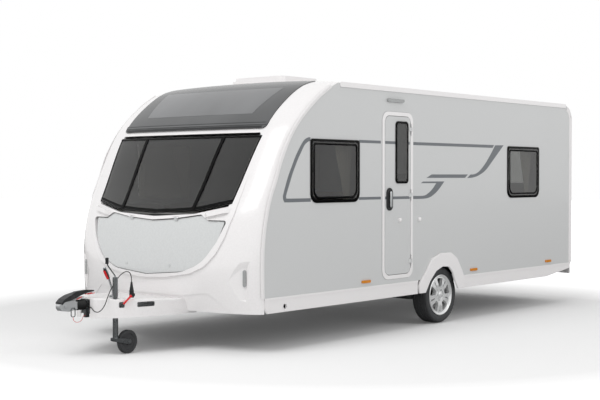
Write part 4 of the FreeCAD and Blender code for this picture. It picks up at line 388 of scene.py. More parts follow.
# %% [markdown]
# ## Dress the CAD nodes
# Each CAD node keeps its mesh and only has its material changed.

# %% Assign finishes to the nodes
STEADY_LEGS = " ".join("steady_leg_%s_%s" % (end, side) for end in ("front", "rear") for side, _ in SIDES)
FINISHES = {
    gelcoat: "front_shell rear_shell roof_panel awning_rails grab_handles drawbar_cover gas_locker_bulkhead"
             " roof_hatch fridge_vents toilet_door battery_door door_frame",
    wall_sheet: "side_wall_left side_wall_right door_leaf",
    grey_gelcoat: "gas_locker_lid",
    white_abs: "arch_trims side_skirts",
    acrylic: "front_window rear_window side_windows_left side_windows_right door_window",
    smoked: "skylight",
    printed_black: "window_strips",
    moulded_black: "coupling_handle door_handle trailer_plug wheel_boxes",
    seal_rubber: "bellows trailer_cable",
    tread_rubber: "jockey_wheel tyre_left tyre_right",
    moulded_red: "breakaway_cable",
    amber: "side_markers",
    red_lens: "rear_lamps",
    clear_lens: "marker_lamps",
    galvanised: "main_frame drawbar axle steady_mounts " + STEADY_LEGS,
    zinc_plate: "jockey_tube jockey_fork jockey_clamp handbrake_lever overrun_tube breakaway_clip",
    cast_silver: "coupling_head",
    alloy: "rim_left rim_right",
    cast_iron: "brake_drum_left brake_drum_right",
    oak_foil: "furniture",
    painted_ply: "floor_panel",
    upholstery: "cushions",
}
for material, names in FINISHES.items():
    for name in names.split():
        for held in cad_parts[name].material_slots:
            held.material = material
left_over = set(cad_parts) - {n for names in FINISHES.values() for n in names.split()}
print("nodes without a finish:", sorted(left_over))

# %% [markdown]
# ## Stripes
# The graphics are cast vinyl, cut flat and stuck on the wall: a band over and under the front window that
# closes in a loop ahead of it, and two hooked ends behind the door. They are closed outlines in the
# wall's plane, 0.4 mm thick, and the part of a band that crosses the door swings with the leaf.

# %% Cut the vinyl
VINYL = 0.4
WALL_FACE, LEAF_FACE = 1205.3, 1209.3
BAND_TOP = [(2296, 1945), (2325, 1943), (2367, 1928), (2404, 1901), (2432, 1869), (2473, 1816), (2514, 1757),
            (2562, 1673), (2611, 1584), (2650, 1496), (2678, 1424), (2685, 1398), (2681, 1372), (2666, 1353),
            (2638, 1346), (2290, 1346)]
BAND_IN = [(2290, 1379), (2619, 1380), (2635, 1384), (2642, 1395), (2638, 1413), (2619, 1459), (2587, 1527),
           (2554, 1600), (2514, 1673), (2473, 1742), (2432, 1800), (2396, 1851), (2367, 1881), (2329, 1903),
           (2296, 1908)]
HOOK_FRONT = [(-1209, 1942), (-1004, 1789), (-821, 1657), (-673, 1596), (-544, 1570), (-423, 1564)]
HOOK_BACK = [(-490, 1603), (-576, 1608), (-673, 1639), (-804, 1726), (-936, 1849), (-1020, 1938)]
TAIL_OUTER = [(35, 1528), (148, 1440), (250, 1384), (337, 1357), (452, 1347), (622, 1347)]
TAIL_INNER = [(622, 1379), (438, 1379), (352, 1401), (265, 1449), (192, 1510)]
TAIL_TIP = [(481, 1511), (444, 1528)]
FLAT_BITS = [
    [(1552, 1910), (1192, 1910), (1192, 1938), (1552, 1938)],
    [(622, 1907), (-963, 1907), (-996, 1940), (622, 1938)],
    [(379, 1566), (280, 1603), (-439, 1604), (-379, 1566)],
    [(1552, 1352), (1190, 1352), (1190, 1379), (1552, 1379)],
]
DOOR_BITS = [
    [(1122, 1909), (948, 1909), (948, 1937), (1122, 1937)],
    [(725, 1909), (692, 1909), (692, 1937), (725, 1937)],
    [(998, 1350), (692, 1350), (692, 1378), (998, 1378)],
    [(1122, 1352), (1102, 1352), (1102, 1379), (1122, 1379)],
]
outlines = [
    np.concatenate([smooth_line(BAND_TOP, 5), smooth_line(BAND_IN, 5)]),
    np.concatenate([smooth_line(HOOK_FRONT), smooth_line(HOOK_BACK)]),
    np.concatenate([smooth_line(TAIL_OUTER), smooth_line(TAIL_INNER), TAIL_TIP]),
] + FLAT_BITS
for side, sign in SIDES:
    cut = [side_plate(outline, sign * WALL_FACE, sign * (WALL_FACE + VINYL)) for outline in outlines]
    joined("stripes_" + side, cut, vinyl)
cut = [side_plate(outline, LEAF_FACE, LEAF_FACE + VINYL) for outline in DOOR_BITS]
joined("stripes_door", cut, vinyl, "door")
print(len(outlines), "stripes a side and", len(cut), "on the door")

# %% [markdown]
# ## Side windows
# A caravan window is one acrylic pane: its edge is printed black, and inside that the pane is blown
# outwards a few millimetres, which leaves a rounded ridge that catches the light. Both are a section
# carried round the outline. The right side has one smaller window more, over the kitchen.

# %% Window borders
PANE_FACE = 1212.6
EDGE_LEVELS = [(0, 0), (0, 1.2), (2, 2.2), (24, 2.2), (26, 0)]
RIDGE_LEVELS = [(40, 0), (42, 4), (46, 6), (50, 6.5), (56, 5), (60, 0)]
DOOR_PANE = (726, 1510, 947, 2143)
DOOR_PANE_LEVELS = [(0, 1217.4), (0, 1218.6), (2, 1219.4), (20, 1219.4), (22, 1217.4)]
big_windows = [rounded_box(middle - 375, 1333, middle + 375, 1933, (90, 90, 30, 30))
               for middle in (1923, -1665)]
kitchen_window = rounded_box(-730, 1420, -110, 1900, 40)
panes = {"left": big_windows, "right": big_windows + [kitchen_window]}
for side, sign in SIDES:
    for name, section in (("window_borders_", EDGE_LEVELS), ("window_ridges_", RIDGE_LEVELS)):
        levels = [(shrink, sign * (PANE_FACE + height)) for shrink, height in section]
        joined(name + side, [side_border(pane, levels) for pane in panes[side]], printed_black)
piece("door_window_border", side_border(rounded_box(*DOOR_PANE, 40), DOOR_PANE_LEVELS), printed_black,
      "door")
print("borders round", len(panes["left"]) + len(panes["right"]), "side windows")

# %% [markdown]
# ## Laying trim on a curved face
# Trim on the bowed front has to follow it. The CAD mesh of the face tells where the surface is: a ray
# along X from outside gives the point and the normal over each wanted (y, z), and the trim is lifted
# along that normal. Where a ray misses at the rim, the last point found lends its X and its normal.

# %% Find the surface of a node and lay a patch on it
FAR_AHEAD = 6
SUNK = 0.0003
trees = {}


def face_points(node, y, z):
    """The node's foremost points over (y, z) in millimetres and their normals, with a last axis of 3."""
    if node not in trees:
        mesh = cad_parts[node].data
        corners = [v.co for v in mesh.vertices]
        trees[node] = BVHTree.FromPolygons(corners, [f.vertices[:] for f in mesh.polygons])
    spots, normals = [], []
    last = (Vector((0, 0, 0)), Vector((1, 0, 0)))
    for yy, zz in zip(np.ravel(y) / 1000, np.ravel(z) / 1000):
        hit = trees[node].ray_cast(Vector((FAR_AHEAD, yy, zz)), Vector((-1, 0, 0)))
        if hit[0] is None:
            hit = (Vector((last[0].x, yy, zz)), last[1])
        last = hit
        spots.append(hit[0])
        normals.append(hit[1] if hit[1].x > 0 else -hit[1])
    shape = np.shape(y) + (3,)
    return np.array(spots).reshape(shape), np.array(normals).reshape(shape)


def patch(node, grid, height):
    """A closed skin over a grid (row, column, (y, z)): its top at the height, its foot just in the face."""
    grid = np.asarray(grid, float)
    spots, normals = face_points(node, grid[..., 0], grid[..., 1])
    top = spots + normals * height / 1000
    foot = spots - normals * SUNK
    return skin("patch", np.concatenate([top, foot[:, ::-1]], axis=1))


def grid_between(a, b, steps, across):
    """Points between two lines of (y, z), each read at equal shares of its length."""
    lines = []
    for line in (a, b):
        line = np.asarray(line, float)
        run = np.concatenate([[0], np.cumsum(np.linalg.norm(np.diff(line, axis=0), axis=1))])
        t = np.linspace(0, run[-1], steps)
        lines.append(np.stack([np.interp(t, run, line[:, k]) for k in (0, 1)], -1))
    share = np.linspace(0, 1, across)[None, :, None]
    return lines[0][:, None] * (1 - share) + lines[1][:, None] * share


# %% [markdown]
# ## Front window
# The front panes share a black printed edge, broadest along the foot where it hides the catches, and the
# strips between them stand on a printed ground of their own. The black band across the head is painted
# shadow, where the frame above shades the glass. Lines are given as shares of the body's half width and of
# its height. The foot sags towards the middle, so its lines are mirrored about the centre.

# %% Front borders
def shares(points):
    """(share of the half width, share of the height) to millimetres, as (y, z)."""
    return [(HALF * y, FOOT_Z + TALL * z) for y, z in points]


def mirrored(points):
    """The line and its mirror image, joined at y = 0 where it ends."""
    return points + [(-y, z) for y, z in points[:-1][::-1]]


foot_line = mirrored(shares([(0.7465, 0.4655), (0.4398, 0.4302), (0.2, 0.4205), (0, 0.4175)]))
foot_mid = mirrored(shares([(0.747, 0.4695), (0.4398, 0.4345), (0.2, 0.4248), (0, 0.4218)]))
foot_gap = mirrored(shares([(0.747, 0.4715), (0.4398, 0.4365), (0.2, 0.4268), (0, 0.4238)]))
foot_in = mirrored(shares([(0.7475, 0.482), (0.4398, 0.4475), (0.2, 0.438), (0, 0.4345)]))
# painted shadow: the black band across the head, where the frame above shades the glass
frame_shadow_top = shares([(0.7935, 0.7545), (-0.7935, 0.7545)])
frame_shadow_low = shares([(0.7935, 0.7475), (-0.7935, 0.7475)])
prints_and_shadow = [(foot_line, foot_mid, 90, 3), (foot_gap, foot_in, 90, 2), (frame_shadow_top, frame_shadow_low, 80, 2.5)]
for _, sign in SIDES:
    outer = shares([(sign * 0.7475, 0.4665), (sign * 0.7955, 0.7545)])
    inner = shares([(sign * 0.7375, 0.4665), (sign * 0.7855, 0.7545)])
    prints_and_shadow.append((outer, inner, 60, 2.5))
for _, sign in SIDES:
    inner = shares([(sign * 0.384, 0.4345), (sign * 0.4207, 0.7528)])
    outer = shares([(sign * 0.4135, 0.4345), (sign * 0.4498, 0.7528)])
    prints_and_shadow.append((inner, outer, 60, 6.5))
window_bits = [patch("front_window", grid_between(a, b, steps, 4), lift) for a, b, steps, lift in prints_and_shadow]
joined("front_window_print_and_shadow", window_bits, printed_black)
print("front window border in", len(window_bits), "patches")

# %% [markdown]
# ## Skylight
# The skylight is one smoked moulding. A clearer panel is let into it, and two dark strips of painted shade
# run along its lip: one at the foot and one in the groove above it.

# %% Skylight panel and lip
SKY_FOOT = 0.7887
SKY_PANEL = {"foot": [(0.594, 0.856), (-0.594, 0.856)], "head": [(0.66, 0.9785), (-0.66, 0.9785)]}
LIP_HALF = 950
# painted shade: the two dark strips, in millimetres above the skylight's foot
LIP_SHADE_LINES = ((3, 23), (52, 57))
panel = grid_between(shares(SKY_PANEL["foot"]), shares(SKY_PANEL["head"]), 60, 30)
piece("skylight_panel", patch("skylight", panel, 1.2), smoked_clear)
lip_shade_bits = []
for low, high in LIP_SHADE_LINES:
    lines = [[(LIP_HALF, FOOT_Z + TALL * SKY_FOOT + up), (-LIP_HALF, FOOT_Z + TALL * SKY_FOOT + up)]
             for up in (low, high)]
    lip_shade_bits.append(patch("skylight", grid_between(*lines, 70, 3), 0.8))
joined("skylight_shade_strips", lip_shade_bits, lip_painted_shade)
print("skylight panel and", len(lip_shade_bits), "lip lines")

# %% [markdown]
# ## Seam mouldings
# Where the glass-fibre ends meet the wall a white moulding covers the joint: a flat strip with a groove
# along its middle. Its line is the wall's own front or rear edge.

# %% Front and rear mouldings
FRONT_SEAM = [(2938, 497), (2943, 600), (2943, 855), (2929, 1025), (2898, 1194), (2845, 1375),
              (2765, 1549), (2682, 1755), (2602, 1890), (2510, 2015), (2420, 2110), (2313, 2205),
              (2235, 2265), (2155, 2324), (2070, 2375), (1985, 2424)]
REAR_SEAM = [(-2860, 497), (-2860, 900), (-2860, 1600), (-2860, 2250), (-2850, 2340), (-2815, 2400),
             (-2760, 2432)]
FRONT_SECTION = [(-4, -2), (-4, 3), (-2, 5), (12, 6), (14, 3.5), (17, 3.5), (19, 6), (32, 5), (36, 2),
                 (36, -2)]
REAR_SECTION = [(36, -2), (36, 2), (32, 5), (-10, 6), (-12, 3.5), (-15, 3.5), (-17, 6), (-26, 5), (-30, 2),
                (-30, -2)]


def moulding(path, section, sign):
    """The section (across, out) carried along an (x, z) path on the side; across is square to the path."""
    line = smooth_line(path, 6)
    along = np.gradient(line, axis=0)
    along /= np.linalg.norm(along, axis=1, keepdims=True)
    across = np.stack([along[:, 1], -along[:, 0]], -1)
    section = np.asarray(section, float)
    spots = line[:, None] + across[:, None] * section[None, :, :1]
    y = sign * (HALF + section[None, :, 1]) + np.zeros(spots.shape[:2])
    return skin("moulding", place(spots[..., 0], y, spots[..., 1]))


for side, sign in SIDES:
    both_ends = [moulding(FRONT_SEAM, FRONT_SECTION, sign), moulding(REAR_SEAM, REAR_SECTION, sign)]
    joined("seam_mouldings_" + side, both_ends, white_abs)
print("mouldings along", len(FRONT_SEAM), "and", len(REAR_SEAM), "points a side")

# %% [markdown]
# ## Turned pieces
# Caps, knobs, buttons and bolts are turned: a profile swept round an axis that points out of the
# caravan's side.

# %% Turn a profile
def turned(name, profile, centre, count=40, sign=1, sharp=35):
    """Circles round the Y axis through the centre, one for each (radius, out) of the profile."""
    r, out = np.asarray(profile, float).T[:, :, None]
    angle = np.arange(count) * 2 * math.pi / count
    x, y, z = centre
    return skin(name, place(x + r * np.cos(angle), y + sign * out, z + r * np.sin(angle)), sharp=sharp)


# %% [markdown]
# ## The door's small parts
# A rubber gasket closes the gap round the leaf, a bead of sealant runs round the frame, and a retainer's
# two white buttons sit on the leaf and on the wall. Behind the pane is a blind over its dark cassette.

# %% Door fittings
DOOR_RINGS = [
    ("door_gasket", (672.5, 581.5, 1127.5, 2195.5), 55,
     [(0, 1196), (0, 1205), (2, 1207), (4, 1205), (4, 1196)], seal_rubber),
    ("door_sealant", (629, 538, 1171, 2239), 98,
     [(0, 1204.8), (0.4, 1206.4), (3, 1206.4), (3.4, 1204.8)], sealant),
]
DOOR_PLATES = [
    ("door_lever_cover", (1029, 1269, 1063, 1431), 17,
     [(0, 1228), (0, 1231.5), (2, 1233), (5, 1233.6)], cast_silver),
    ("door_blind", (742, 1613, 931, 2127), 14, [(0, 1188), (0, 1190)], blind_cloth),
    ("door_blind_cassette", (742, 1526, 931, 1611), 14, [(0, 1182), (0, 1194)], moulded_black),
]
BUTTON = [(0.3, -1), (22, -1), (22, 14), (20, 19), (14, 22.5), (0.3, 24)]
for name, box, radius, levels, material in DOOR_RINGS:
    piece(name, side_border(rounded_box(*box, radius), levels), material)
for name, box, radius, levels, material in DOOR_PLATES:
    piece(name, skin(name, side_rings(rounded_box(*box, radius), levels)), material, "door")
piece("door_button", turned("button", BUTTON, (876, 1209, 1137)), gelcoat, "door")
piece("wall_button", turned("button", BUTTON, (517, 1205, 1136)), gelcoat)
print("door:", len(DOOR_RINGS), "rings,", len(DOOR_PLATES), "plates and two buttons")

# %% [markdown]
# ## Tyres
# A tyre is turned from its half section, but its tread is not round: four grooves run along it, and
# slanted slots cut the shoulders into blocks. The grooves simply take a few millimetres off the radius at
# their place across the tread and round it. Two low rings on each flank catch the light.

# %% Model the tread
TYRE = {"x": 28, "z": 302, "middle": 1072.5, "tread_half": 80}
BEAD_TO_CROWN = [(-76, 204), (-78, 216), (-84, 226), (-90, 240), (-92.3, 254), (-92.3, 264), (-90.5, 276),
                 (-86, 286), (-79, 294), (-70, 298.5), (-55, 300.8), (-30, 301.7), (0, 302)]
SECTION = BEAD_TO_CROWN + [(-across, radius) for across, radius in BEAD_TO_CROWN[-2::-1]]
PITCHES, PER_PITCH = 62, 6
GROOVE = {"at": (-46, -17, 17, 46), "deep": 6.0, "wall": 3.2, "floor": 0.6, "from_radius": 296}
SLOT = {"deep": 4.0, "half": 0.1, "slant": 0.006, "from": 48, "to": 84}
SIPE = {"deep": 1.5, "half": 0.09, "slant": 0.02, "to": 44}
FLANK_RINGS = ((232, 0.7), (281, 0.9))
FLANK_TO = 290


def tyre_mesh(name, sign):
    """Rings across the section, less the grooves, the slanted slots and the fine sipes."""
    line = smooth_line(SECTION, 5)
    tread = np.abs(line[:, 0]) < TYRE["tread_half"]
    fine = np.linspace(-TYRE["tread_half"], TYRE["tread_half"], 69)
    crown = np.stack([fine, np.interp(fine, line[tread][:, 0], line[tread][:, 1])], -1)
    line = np.concatenate([line[(line[:, 0] < 0) & ~tread], crown, line[(line[:, 0] > 0) & ~tread]])
    across, radius = line.T[:, :, None]
    angle = np.arange(PITCHES * PER_PITCH)[None, :] * 2 * math.pi / (PITCHES * PER_PITCH)
    groove = np.zeros(across.shape)
    for centre in GROOVE["at"]:
        cut = np.clip(1 + GROOVE["floor"] - np.abs(across - centre) / GROOVE["wall"], 0, 1)
        groove = np.maximum(groove, cut * (radius > GROOVE["from_radius"]))
    turn = angle * PITCHES / (2 * math.pi) + np.abs(across) * SLOT["slant"]
    shoulder = (np.abs(across) > SLOT["from"]) & (np.abs(across) < SLOT["to"])
    slot = (np.abs(turn % 1 - 0.5) < SLOT["half"]) * shoulder
    sipe = (np.abs((turn + across * SIPE["slant"]) % 1 - 0.5) < SIPE["half"]) * (np.abs(across) < SIPE["to"])
    r = radius - GROOVE["deep"] * groove - SLOT["deep"] * slot - SIPE["deep"] * sipe * (1 - groove)
    flank = sum(height * np.exp(-((radius - at) / 2.0) ** 2) for at, height in FLANK_RINGS)
    y = sign * (TYRE["middle"] + across + np.sign(across) * flank * (radius < FLANK_TO))
    rings = place(TYRE["x"] + r * np.cos(angle), y, TYRE["z"] + r * np.sin(angle))
    return skin(name, rings, loop=True, sharp=50)


for side, sign in SIDES:
    tyre = piece("tyre_tread_" + side, tyre_mesh("tyre_" + side, sign), tread_rubber, "wheel_" + side)
    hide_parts("tyre_" + side)
print("tyres with", PITCHES, "pitches and", len(GROOVE["at"]), "grooves")

# %% [markdown]
# ## Wheel centre and bolts
# Five bolts hold the rim, and a plain cap covers the hub. Both are turned pieces; a bolt's head is a ring
# of six.

# %% Caps and bolts
CAP = [(0.5, -6), (27, -6), (30, 0), (30, 3), (27, 6), (20, 7.5), (10, 8), (0.5, 8.2)]
BOLT = [(0.3, -4), (8.5, -4), (8.5, 9), (7, 11), (0.3, 11.5)]
CAP_AT, BOLT_AT, BOLT_CIRCLE = 1151, 1118, 56
for side, sign in SIDES:
    cap = turned("cap", CAP, (TYRE["x"], sign * CAP_AT, TYRE["z"]), sign=sign)
    piece("hub_cap_" + side, cap, alloy, "wheel_" + side)
    bolts = []
    for k in range(5):
        a = math.radians(270 + 72 * k)
        at = (TYRE["x"] + BOLT_CIRCLE * math.cos(a), sign * BOLT_AT, TYRE["z"] + BOLT_CIRCLE * math.sin(a))
        bolts.append(turned("bolt", BOLT, at, 6, sign, 20))
    joined("wheel_bolts_" + side, bolts, zinc_plate, "wheel_" + side)
print(len(bolts), "bolts a wheel")

# %% [markdown]
# ## Curtains and blinds
# A curtain is one sheet with sine pleats, drawn together towards its foot. For n pleats over a width w
# their depth is sqrt(cut / w - 1) * w / (pi * n), where the cut is a width that sets how full they are.
# That keeps them 6 to 7 mm deep while they crowd. A blind is a flat sheet, drawn down behind each window
# on the right in its side rails.

# %% Hang the curtains
CURTAIN_Y, CURTAIN_HEAD, CURTAIN_FOOT = 1120, 1905, 1345
CURTAINS = {"front": ((1560, 1820), (1606, 1694), 420, 9), "rear": ((-2000, -1740), (-1925, -1840), 420, 9),
            "lead": ((2285, 2225), (2285, 2235), 110, 3)}
BLIND_Y = -1146
BLINDS = {"front": (1555, 2291, 1345, 1921), "middle": (-720, -120, 1430, 1890),
          "rear": (-2033, -1297, 1345, 1921)}


def curtain(name, edge_top, edge_foot, y, cut, pleats):
    """Rows from head to foot, between edges that go from edge_top to edge_foot, laid in sine pleats."""
    v = np.linspace(0, 1, 28)[:, None]
    u = np.linspace(0, 1, pleats * 12 + 1)[None, :]
    ease = v * v * (3 - 2 * v)
    left = edge_top[0] + (edge_foot[0] - edge_top[0]) * ease
    right = edge_top[1] + (edge_foot[1] - edge_top[1]) * ease
    wide = np.abs(right - left)
    depth = np.sqrt(cut / wide - 1) * wide / (math.pi * pleats)
    fold = depth * np.sin(2 * math.pi * pleats * u + 0.6 * np.sin(3 * v + 5 * u)) * 0.5
    z = CURTAIN_HEAD + (CURTAIN_FOOT - CURTAIN_HEAD) * v
    made = piece(name, cloth_mesh(name, place(left + (right - left) * u, y + fold, z)), linen)
    thick = made.modifiers.new("cloth", "SOLIDIFY")
    thick.thickness = 0.0012


def blind(name, x0, x1, z0, z1):
    """A roller blind drawn down behind a window on the right, stretched flat in its side rails."""
    u, v = np.meshgrid(np.linspace(x0, x1, 13), np.linspace(z1, z0, 13))
    made = piece(name, cloth_mesh(name, place(u, BLIND_Y, v)), linen)
    thick = made.modifiers.new("cloth", "SOLIDIFY")
    thick.thickness = 0.0008
    print(name, "blind of", x1 - x0, "by", z1 - z0, "mm")


for name, box in BLINDS.items():
    blind("blind_right_" + name, *box)
for side, sign in SIDES:
    for name, (edge_top, edge_foot, cut, pleats) in CURTAINS.items():
        curtain("curtain_%s_%s" % (name, side), edge_top, edge_foot, sign * CURTAIN_Y, cut, pleats)

# %% [markdown]
# ## Cushions
# A foam cushion in a sewn cover is nearly a box, but crowned: a superellipsoid with small exponents,
# whose sides pull in a little between the corners. A piping runs round its top and bottom edges. The
# seats and backs face each other across the front, and the mattress lies along the left at the rear.

# %% Sew the cushions
SOFT, SQUARE, CROWN = 0.32, 0.16, 0.7
PULL = 0.015
PIPING = {"radius": 3.5, "level": 0.93, "share": 0.62}


def power(value, exponent):
    """The power of a value's size, with the value's own sign: what a superellipsoid is drawn with."""
    return np.sign(value) * np.abs(value) ** exponent


def cushion(lo, hi):
    """x = a cos(v)^e cos(u)^f, y = b cos(v)^e sin(u)^f, z = c sin(v)^g; a and b less midway on a side."""
    middle, half = (np.array(lo) + np.array(hi)) / 2, (np.array(hi) - np.array(lo)) / 2
    u = np.linspace(0, 2 * math.pi, 96, endpoint=False)[None, :]
    v = np.linspace(-math.pi / 2 + 0.02, math.pi / 2 - 0.02, 40)[:, None]
    pull = 1 - PULL * np.abs(np.cos(2 * u))

    def crowned(at):
        x = middle[0] + half[0] * power(np.cos(at), SOFT) * power(np.cos(u), SQUARE) * pull
        y = middle[1] + half[1] * power(np.cos(at), SOFT) * power(np.sin(u), SQUARE) * pull
        return np.stack([x, y, middle[2] + half[2] * power(np.sin(at), CROWN) + 0 * u], -1)

    bodies = [skin("foam", place(*np.moveaxis(crowned(v), -1, 0)), sharp=180)]
    for level in (-PIPING["level"], PIPING["level"]):
        ring = crowned(np.array([[math.asin(level) * PIPING["share"]]]))[0]
        out = (ring - middle) * [1, 1, 0]
        out /= np.linalg.norm(out, axis=1, keepdims=True)
        turn = np.arange(6)[None, :, None] * math.pi / 3
        tube = np.cos(turn) * out[:, None] + np.sin(turn) * np.array([0, 0, 1.0])
        tube = ring[:, None] + PIPING["radius"] * tube
        bodies.append(skin("piping", place(*np.moveaxis(tube, -1, 0)), loop=True))
    return bodies


SEAT_X = ((1272, 1983), (1987, 2698))
SEAT_PARTS = {"seat": ((534, 1166), (882, 1018)), "back": ((1042, 1166), (1022, 1298))}
cushion_boxes = {"mattress": ((-2776, -297, 902), (-1004, 1166, 1048))}
for side, sign in SIDES:
    for k, (x0, x1) in enumerate(SEAT_X):
        for part, (across, (z0, z1)) in SEAT_PARTS.items():
            y0, y1 = sorted(sign * edge for edge in across)
            cushion_boxes["%s_cushion_%s_%d" % (part, side, k)] = ((x0, y0, z0), (x1, y1, z1))
for name, (lo, hi) in cushion_boxes.items():
    made = joined(name, cushion(lo, hi), upholstery)
    if name == "mattress":
        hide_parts("cushions")
print(len(cushion_boxes), "cushions")

# %% [markdown]
# ## Cables
# The trailer's cable hangs from the coupling in a loose loop and stands up again to its plug, which is
# parked on the cover. Each cable is a NURBS curve of order 3 through the same route as in the CAD. Such a
# curve is a chain of parabolas between the midpoints of its control lines.

# %% Run the cables
CABLE_ROUTE = [(3978, 41, 432), (3978, 92, 432), (3992, 148, 392), (3980, 204, 392), (3940, 222, 440),
               (3906, 214, 496), (3864, 196, 548), (3810, 168, 594), (3752, 160, 648), (3712, 172, 704),
               (3672, 214, 738), (3655, 258, 712), (3655, 258, 640)]
RED_ROUTE = [(3976, 8, 352), (4002, 8, 352), (4020, 24, 326), (4060, 40, 304), (4108, 44, 302),
             (4139.5, 41.3, 322), (4139.5, 41.3, 352)]


def cable(name, route, thick, material, node):
    """A round cable of the given thickness along the route, both in millimetres."""
    points = place(*np.array(route, float).T)
    line = bpy.data.curves.new(name, "CURVE")
    line.dimensions = "3D"
    line.bevel_depth = thick / 2000
    line.bevel_resolution = 3
    line.resolution_u = 10
    spline = line.splines.new("NURBS")
    spline.points.add(len(points) - 1)
    spline.points.foreach_set("co", np.concatenate([points, np.ones((len(points), 1))], 1).ravel())
    spline.order_u = 3
    spline.use_endpoint_u = True
    line.use_fill_caps = True
    line.materials.append(material)
    made = bpy.data.objects.new(name, line)
    bpy.context.scene.collection.objects.link(made)
    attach(made, "caravan")
    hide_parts(node)


cable("trailer_cable_run", CABLE_ROUTE, 8, seal_rubber, "trailer_cable")
cable("breakaway_cable_run", RED_ROUTE, 4, moulded_red, "breakaway_cable")

# %% [markdown]
# ## Small fittings on the drawbar
# Grips, knobs and levers are rods and sleeves. One function carries a small closed section from one point
# to another, so a half round section gives the two-coloured grip of the handbrake. Stations say where
# along the rod its radius is given, as shares of its length.

# %% Grips, knobs and levers
GRIP = ((3746, 50, 664), (3789, 50, 741), [0, 0.06, 0.9, 1.0], [15.2, 16.6, 16.6, 14.4])
GRIP_TURNED = 1.2
RODS = [
    ("brake_button", (3789, 50, 741), (3796, 50, 753), [-0.1, 0.7, 1], [11, 10.5, 7],
     moulded_black, "caravan"),
    ("crank_knob", (3905, 218, 812), (3905, 218, 868), [0, 0.08, 0.5, 0.92, 1], [12, 15.5, 14.2, 15.8, 12],
     moulded_black, "jockey_tube"),
    ("clamp_lever_sleeve", (3788, 300, 455), (3728, 335.5, 527), [0, 0.1, 0.86, 0.9, 1, 1.04],
     [8.2, 9, 8.6, 13, 13.5, 8], moulded_red, "caravan"),
]


def sleeve(points, radii, start=0.0, sweep=2 * math.pi, count=20):
    """A bar round a straight line: at each point a circle of its radius, or only a sector from start on."""
    points = np.asarray(points, float)
    along = (points[-1] - points[0]) / np.linalg.norm(points[-1] - points[0])
    first = np.cross(along, [0.0, 1.0, 0.0])
    first /= np.linalg.norm(first)
    second = np.cross(along, first)
    full = sweep > 6.28
    angle = start + np.linspace(0, sweep, count, endpoint=not full)
    ring = np.cos(angle)[:, None] * first + np.sin(angle)[:, None] * second
    if not full:
        ring = np.concatenate([ring, ring[::-1] * 0.3])
    spots = points[:, None] + np.asarray(radii, float)[:, None, None] * ring[None]
    return skin("sleeve", place(*np.moveaxis(spots, -1, 0)))


def rod(foot, head, stations, radii, **part):
    """A sleeve from foot to head, with its radii given at the stations, as shares of the way."""
    a, b = np.array(foot, float), np.array(head, float)
    return sleeve([a + (b - a) * share for share in stations], radii, **part)


piece("brake_grip_front", rod(*GRIP, start=GRIP_TURNED, sweep=math.pi), moulded_red)
piece("brake_grip_back", rod(*GRIP, start=GRIP_TURNED + math.pi, sweep=math.pi), moulded_black)
for name, foot, head, stations, radii, material, body in RODS:
    piece(name, rod(foot, head, stations, radii), material, body)
print("drawbar fittings:", 2 + len(RODS))

# %% [markdown]
# Two red strips on each cheek of the coupling's handle warn the hand. They stand about 2 mm proud.

# %% Strips on the coupling handle
STRIPS = [
    ([(3876, 541), (3961, 533), (3959, 540), (3879, 547)], 16.6, 18.4),
    ([(4022, 518), (4082, 497), (4079, 505), (4024, 525)], 18.6, 20.6),
]
red_bits = [side_plate(strip, sign * y0, sign * y1) for strip, y0, y1 in STRIPS for _, sign in SIDES]
joined("handle_strips", red_bits, moulded_red)
print(len(red_bits), "strips")

# %% [markdown]
# ## Floor, world and lamps
# The floor is white paint that keeps the caravan's shadow, and beyond a few metres it glows for the camera
# until it meets the white world, so no horizon shows. For glossy rays the floor is painted dark: a painted
# reflection that keeps the lower half of each window deep. The world is dimmer as a light than as a
# backdrop. One big soft box stands ahead and above, and a second one fills the side.

# %% Floor
FLOOR_HALF, FLOOR_Z = 60, -0.001
FADE = {"From Min": 4.0, "From Max": 7.5, "To Min": 0.06, "To Max": 1.0}
signs = ((-1, -1), (1, -1), (1, 1), (-1, 1))
corners = np.array([(x * FLOOR_HALF, y * FLOOR_HALF, FLOOR_Z) for x, y in signs])
floor_mesh = mesh_of("floor", corners, [[0, 1, 2, 3]])
studio_floor = bpy.data.objects.new("studio_floor", floor_mesh)
bpy.context.scene.collection.objects.link(studio_floor)
PALE, PAINTED_REFLECTION_DARK = "#f4f4f4", "#3c3d3e"
floor_paint, t, s = finish("studio_floor_paint", PALE, 0.9, Specular_IOR_Level=0.0)
rays = add(t, "ShaderNodeLightPath").outputs
# painted reflection: a glossy ray sees the floor dark instead of pale
colours = {"Factor": rays["Is Glossy Ray"], "A": paint(PALE), "B": paint(PAINTED_REFLECTION_DARK)}
painted_reflection = add(t, "ShaderNodeMix", colours, data_type="RGBA")
t.links.new(painted_reflection.outputs["Result"], s.inputs["Base Color"])
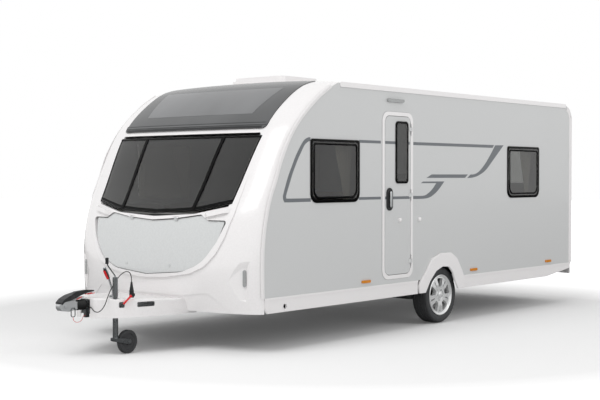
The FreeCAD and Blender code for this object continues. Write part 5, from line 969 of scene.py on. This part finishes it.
far = add(t, "ShaderNodeVectorMath", {0: add(t, "ShaderNodeTexCoord").outputs["Object"]}, operation="LENGTH")
fade = add(t, "ShaderNodeMapRange", {"Value": far.outputs["Value"], **FADE})
dim = add(t, "ShaderNodeMath", {0: rays["Is Camera Ray"], 1: fade.outputs["Result"]}, operation="MULTIPLY")
glow = add(t, "ShaderNodeEmission", {"Color": (1, 1, 1, 1), "Strength": dim.outputs[0]})
lit = add(t, "ShaderNodeAddShader", {0: s.outputs[0], 1: glow.outputs[0]})
t.links.new(lit.outputs[0], t.nodes["Material Output"].inputs["Surface"])
floor_mesh.materials.append(floor_paint)
print("floor", 2 * FLOOR_HALF, "m wide")

# %% World and lamps
WORLD_LIGHT = 0.62
world = bpy.data.worlds.new("studio")
bpy.context.scene.world = world
world.use_nodes = True
t = world.node_tree
back = t.nodes["Background"]
rays = add(t, "ShaderNodeLightPath").outputs
seen = add(t, "ShaderNodeMath", {0: rays["Is Camera Ray"], 1: rays["Is Glossy Ray"]}, operation="MAXIMUM")
seen = add(t, "ShaderNodeMath", {0: seen.outputs[0], 1: rays["Is Transmission Ray"]}, operation="MAXIMUM")
level = add(t, "ShaderNodeMapRange", {"Value": seen.outputs[0], "To Min": WORLD_LIGHT, "To Max": 1.0})
t.links.new(level.outputs["Result"], back.inputs["Strength"])
back.inputs["Color"].default_value = (1, 1, 1, 1)


def lamp(name, where, to, size, power):
    """A soft box: a square area lamp at a point, turned to look at another."""
    made = bpy.data.objects.new(name, bpy.data.lights.new(name, "AREA"))
    made.data.shape = "SQUARE"
    made.data.size = size
    made.data.energy = power
    made.location = where
    made.rotation_euler = (Vector(to) - Vector(where)).to_track_quat("-Z", "Y").to_euler()
    bpy.context.scene.collection.objects.link(made)


lamp("key_softbox", (9, 1, 10), (1, 0, 1), 7, 520)
lamp("fill_softbox", (-3, 12, 7), (0, 0, 1), 8, 290)
print("two soft boxes")

# %% [markdown]
# ## Last setting
# The view transform is set to Standard.

# %% Set the view transform
bpy.context.scene.view_settings.view_transform = "Standard"
